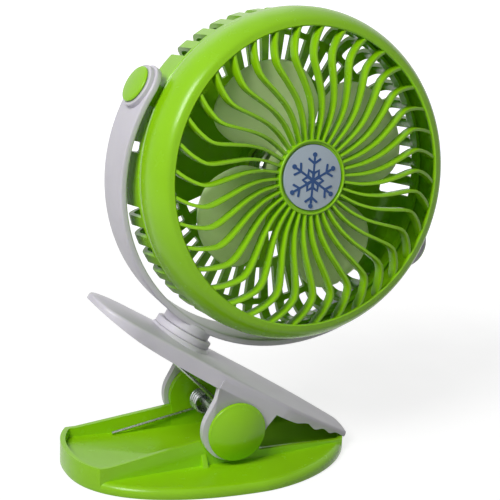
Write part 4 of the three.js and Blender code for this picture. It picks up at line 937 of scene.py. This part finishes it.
def badge_disc():
    seat = hub.front - hub.badge_thick
    face_radius, edge_height = hub.badge - SOFT, hub.front - SOFT
    points = [(0, seat), (hub.badge - CRISP, seat), (hub.badge, seat + CRISP), (hub.badge, edge_height)]
    for k, (c, s) in enumerate(arc(0, pi / 2, 12)[:-1]):
        radius = face_radius + SOFT * c if k < 4 else face_radius * c
        points.append((radius, edge_height + (hub.badge_dome + SOFT) * s))
    points.append((0, hub.front + hub.badge_dome))
    finish(lathe("disc", points, closed=False), "badge_disc", "head", BADGE, "hub_badge")


def badge_top(radius):
    """Height of the badge's slightly domed face."""
    share = min(1.0, radius / (hub.badge - SOFT))
    return hub.front + hub.badge_dome * math.sqrt(1 - share * share)


def laid_on_badge(obj):
    """Sets a flat shape that reaches from 0 to 1 in height on the domed face."""
    for vertex in obj.data.vertices:
        x, y, z = vertex.co
        level = crystal.proud if z > 0.5 else -crystal.deep
        vertex.co = (x, y, badge_top(math.hypot(x, y)) + level)
    return obj


def stroke(start, end, steps=6):
    """A straight line with round ends."""
    start, end = Vector(start), Vector(end)
    ahead = (end - start).normalized() * (crystal.wide / 2)
    aside = Vector((-ahead.y, ahead.x))
    outline = [tip - aside * (sign * c) + ahead * (sign * s)
               for tip, sign in ((end, 1), (start, -1)) for c, s in arc(0, pi, steps)]
    return prism("stroke", [(p.x, p.y) for p in outline], 0, 1)


def crystal_star():
    """A star with six points, each with a diamond left open in it."""
    points = []
    for k in range(12):
        radius = crystal.star if k % 2 else crystal.notch
        points.append((radius * sin(pi / 6 * k), radius * cos(pi / 6 * k)))
    star = prism("star", points, 0, 1)
    gem = [(0, crystal.gem_low), (crystal.gem_aside, crystal.gem_middle), (0, crystal.gem_high),
           (-crystal.gem_aside, crystal.gem_middle)]
    for k in range(6):
        cut(star, placed(prism("gem", gem, -OVER, 1 + OVER), spun(60 * k + 30)))
    return star


def snow_crystal():
    shapes = [crystal_star()]
    for k in range(6):
        arm = [stroke((0, crystal.arm_low), (0, crystal.arm_high)),
               moved(rod(crystal.dot, 0, 1, 24), 0, crystal.dot_high, 0)]
        arm += [stroke((0, crystal.fork_low), (side * crystal.fork_aside, crystal.fork_high))
                for side in (-1, 1)]
        shapes += [placed(shape, spun(60 * k)) for shape in arm]
    whole = placed(together(shapes), shift(crystal.aside, -crystal.down, 0) @ spun(CRYSTAL_TURN))
    finish(laid_on_badge(whole), "badge_crystal", "head", NAVY)


FACE_INSIDE = cage.wall - cage.depth
EAR_PLACES = [(x * pod.ear_aside, y * pod.ear_up) for x, y in ((1, 1), (-1, 1), (-1, -1), (1, -1))]
MOTOR_SCREWS = [(side * motor.screw_aside, -motor.screw_down) for side in (1, -1)]


def cage_shell():
    def corner(radius, depth):
        return [(cage.face + (radius - cage.face) * c, -cage.side - (depth - cage.side) * s)
                for c, s in arc(0, pi / 2, 10)]

    inner = cage.outer - cage.wall
    spigot = ring.lip + (ring.outer - ring.wall - ring.lip) * RING_OUT[0] - GAP * 2
    profile = [(spigot, 0), (cage.outer - cage.edge, 0), (cage.outer, -cage.edge)]
    profile += corner(cage.outer, cage.depth) + [(0, -cage.depth), (0, FACE_INSIDE)]
    profile += corner(inner, cage.depth - cage.wall)[::-1]
    profile += [(inner, -cage.wall * 2), (spigot - cage.spigot_thick, -cage.wall),
                (spigot - cage.spigot_thick, cage.spigot), (spigot, cage.spigot)]
    return lathe("cage", profile, ROUND * 2)


def arc_window(inner, outer, start, end):
    """A window between two radii and two angles, with rounded ends."""
    corners = []
    for radius, first, last in ((inner, start, end), (outer, end, start)):
        for k in range(7):
            p = around(radius, first + (last - first) * k / 6, 0)
            corners.append((p.x, p.y, cage.window_round if k in (0, 6) else 0))
    return prism("window", filleted(corners, steps=3), -cage.depth - OVER, FACE_INSIDE + OVER)


def face_windows():
    windows = []
    for inner_share, outer_share, count in WINDOW_ROWS:
        for i in range(count):
            middle = (i + 0.5) * 360 / count
            wide = 360 / count * WINDOW_SHARE
            inner, outer = inner_share * cage.face, outer_share * cage.face
            near = around(inner, middle, 0)
            behind = abs(near.x) < pod.ear_aside + pod.ear * 2 and abs(near.y) < pod.height + cage.hoop
            if not behind:
                windows.append(arc_window(inner, outer, middle - wide / 2, middle + wide / 2))
    return together(windows)


def cage_slots():
    """Slots over the side and the rounded corner, with the cage left plain at three places."""
    slots = []
    inner = WINDOW_ROWS[-1][1] * cage.face + cage.hoop
    outer = cage.outer + OVER
    half = pi * cage.outer / cage.ribs * WINDOW_SHARE
    outline = filleted([(-half, inner, cage.slot_round), (half, inner, cage.slot_round), (half, outer, 0),
                        (-half, outer, 0)])
    for i in range(cage.ribs):
        middle = (i + 0.5) * 360 / cage.ribs
        at_pivot = abs(around(cage.outer, middle, 0).y) < pivot.boss * 3
        if not at_pivot and abs(middle - SOLID_AT) >= SOLID_HALF:
            slots.append(placed(prism("slot", outline, -cage.depth - OVER, -cage.margin), spun(-middle)))
    return together(slots)


def rear_cage():
    shell = cut(cage_shell(), face_windows(), cage_slots())
    bosses = both_sides(lambda: along_x(rod(pivot.boss, pivot.boss_inner, pivot.boss_outer)))
    bosses = [moved(boss, 0, 0, -PIVOT_BEHIND) for boss in bosses]
    inner, seat = motor.radius + GAP, FACE_INSIDE - cage.wall / 2
    mount = tube(inner + motor.mount_wall, inner, seat, FACE_INSIDE + motor.mount_height)
    screw_bosses = [moved(rod(screw.boss, seat, FACE_INSIDE + screw.boss_high, 32), x, y, 0)
                    for x, y in EAR_PLACES]
    join(shell, *bosses, mount, *screw_bosses)
    for pin in both_sides(lambda: along_x(rod(pivot.pin + SHAFT_GAP, pivot.pin_inner, yoke.outer))):
        cut(shell, moved(pin, 0, 0, -PIVOT_BEHIND))
    for places, deep in ((EAR_PLACES, screw.hole_high), (MOTOR_SCREWS, OVER)):
        for x, y in places:
            cut(shell, moved(rod(screw.hole, -cage.depth - OVER, FACE_INSIDE + deep, 24), x, y, 0))
    finish(shell, "rear_cage", "head", GREEN, "rear_grille")


def blade_point(turn, share, across, lift):
    """A place on a blade, at a share of its reach and from -1 to 1 across it."""
    root = wheel.hub - wheel.wall / 2
    middle = wheel.front - wheel.depth / 2 - wheel.thick / 2
    spread = smooth_value(BLADE_SHARES, BLADE_SPREADS, share)
    sweep = smooth_value(BLADE_SHARES, BLADE_SWEEPS, share)
    rise = across * wheel.rise / 2 * spread / max(BLADE_SPREADS)
    curl = wheel.curl * (1 - across * across) * share
    radius = root + (wheel.tip - root) * share
    return around(radius, turn + sweep + across * spread, middle + rise + lift - curl)


def petal(turn, rows=22, columns=16):
    points, faces = [], []
    for layer in (1, -1):
        for i in range(rows + 1):
            share = sin(pi / 2 * i / rows)
            for j in range(columns + 1):
                across = sin(pi / 2 * (-1 + 2 * j / columns))
                full = min(1, max(0, 1 - abs(across)) * BLADE_SIDE_RISE + BLADE_EDGE)
                full *= min(1, (1 - share) * BLADE_TIP_RISE + BLADE_EDGE)
                points.append(blade_point(turn, share, across, layer * wheel.thick / 2 * full))

    def at(layer, row, column):
        return (layer * (rows + 1) + row) * (columns + 1) + column

    for i in range(rows):
        for j in range(columns):
            faces += [(at(layer, i, j), at(layer, i + 1, j), at(layer, i + 1, j + 1), at(layer, i, j + 1))
                      for layer in (0, 1)]
        for j in (0, columns):
            faces.append((at(0, i, j), at(1, i, j), at(1, i + 1, j), at(0, i + 1, j)))
    for j in range(columns):
        for i in (0, rows):
            faces.append((at(0, i, j), at(0, i, j + 1), at(1, i, j + 1), at(1, i, j)))
    return outward(link("petal", points, faces))


def fan_wheel():
    rear, front = wheel.front - wheel.depth, wheel.front
    inner, inside = wheel.hub - wheel.wall, front - wheel.wall
    cup = turned([(0, inside, 0), (inner, inside, wheel.inner_edge), (inner, rear, 0),
                  (wheel.hub, rear, EASED), (wheel.hub, front, wheel.edge), (0, front, 0)])
    petals = [petal(wheel.first + 360 / wheel.count * i) for i in range(wheel.count)]
    join(cup, rod(wheel.boss, rear, front - wheel.wall / 2), *petals)
    cut(cup, rod(wheel.bore, rear - OVER, wheel.bore_end, 24))
    finish(cup, "fan_wheel", "wheel", BLADE, "impeller", degrees=50)


# Heights in the head's frame of what the rear housing holds

POD_FRONT = -cage.depth - GAP
POD_REAR = POD_FRONT - pod.depth
POD_WALL = POD_REAR + pod.wall
FLANGE = POD_WALL + GAP + button.flange_thick
BOARD_REAR = FLANGE + button.travel + GAP + board.switch + GAP
TAB = shift(pod.tab_aside, pod.door_up - pod.door_height / 2 - pod.tab_drop, 0)
BOARD = shift(board.aside, -board.down, 0)


def rounded_box(half_wide, half_high, corner, steps=8):
    points = []
    for quarter, (x, y) in enumerate(((1, 1), (-1, 1), (-1, -1), (1, -1))):
        points += [(x * (half_wide - corner) + corner * c, y * (half_high - corner) + corner * s)
                   for c, s in arc(quarter * pi / 2, (quarter + 1) * pi / 2, steps)]
    return points


def door_shape(clearance, start, end):
    outline = rounded_box(pod.door_length / 2 + clearance, pod.door_height / 2 + clearance,
                          pod.door_corner + clearance)
    body = moved(prism("door", outline, start, end), 0, pod.door_up, 0)
    return join(body, placed(rod(pod.tab + clearance, start, end), TAB))


def pod_shell():
    rings = [(0, POD_FRONT)]
    rings += [(pod.edge * (1 - c), POD_REAR + pod.edge * (1 - s)) for c, s in arc(0, pi / 2, 6)]
    shell = loft("pod", [[(x, y, z) for x, y in rounded_box(pod.length - i, pod.height - i, pod.corner - i)]
                         for i, z in rings])
    inner = rounded_box(pod.length - pod.wall, pod.height - pod.wall, pod.corner - pod.wall)
    cut(shell, prism("hollow", inner, POD_WALL, POD_FRONT + OVER))
    for x, y in EAR_PLACES:
        inward = math.copysign(pod.ear / 2, x)
        ear = moved(rod(pod.ear, POD_FRONT - pod.ear_thick, POD_FRONT), x, y, 0)
        join(ear, block(pod.ear, pod.ear * 2, pod.ear_thick, x - inward, y, POD_FRONT - pod.ear_thick / 2))
        join(shell, rounded_edges(ear, pod.ear_soft))
    low = POD_WALL - pod.wall / 2
    for side in (1, -1):
        post = rod(board.post, low, BOARD_REAR - GAP, 24)
        join(shell, moved(post, board.aside + side * board.post_aside, -board.down, 0))
    join(shell, placed(rod(screw.boss, low, POD_REAR + pod.tab_boss, 24), TAB))
    through, inside = POD_REAR - OVER, POD_WALL + OVER
    bay = rounded_box(pod.door_length / 2 - pod.door_ledge, pod.door_height / 2 - pod.door_ledge,
                      pod.door_corner / 2)
    cut(shell, door_shape(GAP, through, POD_REAR + pod.door_thick + GAP),
        moved(prism("bay", bay, through, inside), 0, pod.door_up, 0),
        placed(rod(button.radius + GAP, through, inside), BOARD),
        placed(rod(board.lens, through, inside, 24), BOARD @ shift(board.lens_aside, 0, 0)),
        block(socket.wide, pod.wall * 3, socket.high, board.aside - socket.aside, -pod.height,
              BOARD_REAR - GAP - socket.low),
        placed(rod(screw.hole, through, POD_REAR + pod.tab_hole, 24), TAB))
    for x, y in EAR_PLACES:
        cut(shell, moved(rod(screw.hole, through, POD_FRONT + OVER, 24), x, y, 0))
    finish(shell, "pod_shell", "head", GREEN, "rear_housing")


def pod_door():
    door = door_shape(0, POD_REAR, POD_REAR + pod.door_thick)
    for k in range(grip.count):
        outline = rounded_box(grip.half - k * grip.taper, grip.wide, grip.corner, 4)
        groove = prism("groove", outline, POD_REAR - OVER, POD_REAR + grip.wide)
        cut(door, moved(groove, -grip.aside, pod.door_up - grip.down + k * grip.pitch, 0))
    cut(door, placed(rod(screw.hole, POD_REAR - OVER, POD_REAR + pod.wall, 24), TAB))
    rounded_edges(door, pod.door_soft, 2)
    finish(door, "battery_door", "head", GREEN, "battery_cover")


def push_button():
    rim, shoulder = POD_REAR - button.proud, FLANGE - button.flange_thick
    flange = button.radius + button.flange
    profile = [(0, FLANGE), (flange, FLANGE), (flange, shoulder), (button.radius, shoulder)]
    profile += [(button.radius - button.edge * (1 - c), rim + button.edge_deep * (1 - s))
                for c, s in arc(0, pi / 2, 8)]
    profile += [(radius, rim + deep) for radius, deep in DISH]
    cap = placed(lathe("button", profile, 64, closed=False), BOARD)
    finish(cap, "push_button", "button", WHITE, "speed_button")


# Screws


def cross_screw(name, node, body, place, size, length):
    """A screw whose head, with a cross recess, lies below zero along its own Z."""
    head, high, radius = size.head, size.high, size.radius
    profile = filleted([(0, -high, 0), (head, -high, high * HEAD_ROUND), (head, 0, screw.edge),
                        (radius, 0, 0)], closed=False)
    pitch = length / THREADS
    for k in range(THREADS):
        profile += [(radius * THREAD_ROOT, pitch * (k + THREAD_LOW)), (radius, pitch * (k + THREAD_HIGH))]
    shape = lathe("screw", profile + [(0, length)], 40, closed=False)
    for turn in (0, 90):
        bar = block(head * CROSS_LONG, head * CROSS_WIDE, high * CROSS_LONG, 0, 0, -high)
        cut(shape, placed(bar, spun(turn)))
    finish(placed(shape, place), name, body, STEEL, node)


def small_screws():
    ear_face = POD_FRONT - pod.ear_thick - GAP
    for i, (x, y) in enumerate(EAR_PLACES, 1):
        cross_screw(f"pod_screw_{i}", f"housing_screw_{i}", "head", shift(x, y, ear_face), screw, screw.long)
    for (x, y), side in zip(MOTOR_SCREWS, ("right", "left")):
        place = shift(x, y, -cage.depth - GAP)
        cross_screw(f"motor_bolt_{side}", f"motor_screw_{side}", "head", place, screw, screw.short)
    cross_screw("door_screw", "cover_screw", "head", TAB @ shift(0, 0, POD_REAR - GAP), screw, screw.long)
    washer_low = jaw.side - jaw.wall - yoke.height - GAP - neck.washer
    place = shift(0, 0, washer_low - GAP)
    cross_screw("neck_bolt", "swivel_screw", "yoke_arm", place, neck_screw, screw.long)


# Better finishes for the nodes that keep their shape

KEPT = {
    STEEL: ("hinge_pin", "swivel_washer", "pivot_pin_left", "pivot_pin_right", "motor_can", "motor_shaft",
            "battery_spring", "battery_contact_plus", "battery_contact_minus", "usb_socket"),
    NYLON: ("pivot_washer_left", "pivot_washer_right", "motor_end_cap"),
    FERRITE: ("motor_magnet_left", "motor_magnet_right"),
    BRASS: ("motor_bushing",), COPPER: ("motor_armature",), SLEEVE: ("battery_cell",),
    RESIN: ("circuit_board",), DARK: ("tact_switch",), LENS: ("power_lens",),
}


def dress_nodes():
    for material, names in KEPT.items():
        for name in names:
            for slot in bpy.data.objects[name].material_slots:
                slot.material = material


# Camera, lamps and floor

PICTURE = 500
FOCAL = 1908.23
SENSOR = 36
NEAREST = 0.05
TARGET = Vector((14.56, 0, 95.08)) * MM
DISTANCE = 840.13 * MM
TURN, LIFT, ROLL = radians(-24.09), radians(18.02), radians(2.24)


def camera():
    data = bpy.data.cameras.new("view")
    data.sensor_width = SENSOR
    data.lens = FOCAL * SENSOR / PICTURE
    data.clip_start = NEAREST
    obj = put("view", data)
    back = Vector((sin(TURN) * cos(LIFT), -cos(TURN) * cos(LIFT), sin(LIFT)))
    right = Vector((cos(TURN), sin(TURN), 0))
    up = back.cross(right)
    tilted = right * cos(ROLL) + up * sin(ROLL)
    upright = up * cos(ROLL) - right * sin(ROLL)
    turn = Matrix((tilted, upright, back)).transposed().to_4x4()
    obj.matrix_world = Matrix.Translation(TARGET + back * DISTANCE) @ turn
    bpy.context.scene.camera = obj


LAMP_AIM = Vector((0, 0, 0.1))
LAMPS = {
    "key": ((-0.66, -0.44, 0.86), (0.45, 0.45), 10.2),
    "fill": ((-0.3, -1.0, 0.35), (0.6, 0.5), 0.18),
    "back": ((0.1, 0.8, 0.75), (0.7, 0.5), 0.5),
}


def studio():
    """Soft lamps, each with its place and size in metres and its watts."""
    for name, (place, size, watts) in LAMPS.items():
        data = bpy.data.lights.new(name, "AREA")
        data.shape = "RECTANGLE"
        data.size, data.size_y = size
        data.energy = watts
        obj = put(name, data)
        obj.location = place
        obj.rotation_euler = (LAMP_AIM - Vector(place)).to_track_quat("-Z", "Y").to_euler()


SKY_LIGHT = 0.105


def plain_sight(tree):
    """1 for what the camera sees, also in gloss and through clear parts."""
    path = add(tree, "LightPath")
    seen = path.outputs["Is Camera Ray"]
    for kind in ("Is Transmission Ray", "Is Glossy Ray"):
        either = add(tree, "Math")
        either.operation = "MAXIMUM"
        tree.links.new(seen, either.inputs[0])
        tree.links.new(path.outputs[kind], either.inputs[1])
        seen = either.outputs[0]
    return seen


def world():
    """White to the camera, in gloss and through clear parts; soft and dimmer as a light."""
    sky = bpy.data.worlds.new("studio")
    sky.use_nodes = True
    tree = sky.node_tree
    background = tree.nodes["Background"]
    strength = add(tree, "MapRange")
    set_inputs(strength, {"To Min": SKY_LIGHT, "To Max": 1.0})
    tree.links.new(plain_sight(tree), strength.inputs["Value"])
    set_inputs(background, {"Color": (1, 1, 1, 1)})
    tree.links.new(strength.outputs["Result"], background.inputs["Strength"])
    bpy.context.scene.world = sky


FLOOR_RADIUS = 1.6
FLOOR_GREYS, FLOOR_CLOUDS = (0.32, 0.35), 3.0
FLOOR_GLOSS, FLOOR_WEAR = (0.55, 0.65), 30.0
FLOOR_GLOW = {"From Min": 0.1, "From Max": 0.5, "To Min": 0.78, "To Max": 1.0}


def floor():
    """Pale, and white to the camera away from the object, with the object's shadow kept."""
    material, tree, bsdf = shader("pale_floor")
    varied(tree, bsdf, grey(1.0), FLOOR_GREYS, noise(tree, FLOOR_CLOUDS), 1.0, FLOOR_GLOSS,
           noise(tree, FLOOR_WEAR))
    set_inputs(bsdf, {"Specular IOR Level": 0.2, "Emission Color": (1, 1, 1, 1)})
    place = add(tree, "TexCoord")
    away = add(tree, "VectorMath")
    away.operation = "LENGTH"
    tree.links.new(place.outputs["Object"], away.inputs[0])
    glow = add(tree, "MapRange")
    glow.interpolation_type = "SMOOTHSTEP"
    set_inputs(glow, FLOOR_GLOW)
    tree.links.new(away.outputs["Value"], glow.inputs["Value"])
    seen = add(tree, "Math")
    seen.operation = "MULTIPLY"
    tree.links.new(plain_sight(tree), seen.inputs[0])
    tree.links.new(glow.outputs["Result"], seen.inputs[1])
    tree.links.new(seen.outputs[0], bsdf.inputs["Emission Strength"])
    rim = [(FLOOR_RADIUS * c, FLOOR_RADIUS * s, 0) for c, s in arc(0, 2 * pi, ROUND)[:-1]]
    plate = link("floor", rim, [tuple(range(ROUND))])
    plate.data.materials.append(material)


for make in (
    lower_jaw, spring, upper_jaw, hinge_caps, collar, yoke_piece, pivot_caps, grille_ring, grille_bars,
    hub_plate, badge_disc, snow_crystal, rear_cage, fan_wheel, pod_shell, pod_door, push_button,
    small_screws, dress_nodes, camera, studio, world, floor,
):
    make()

bpy.context.scene.view_settings.view_transform = "Standard"
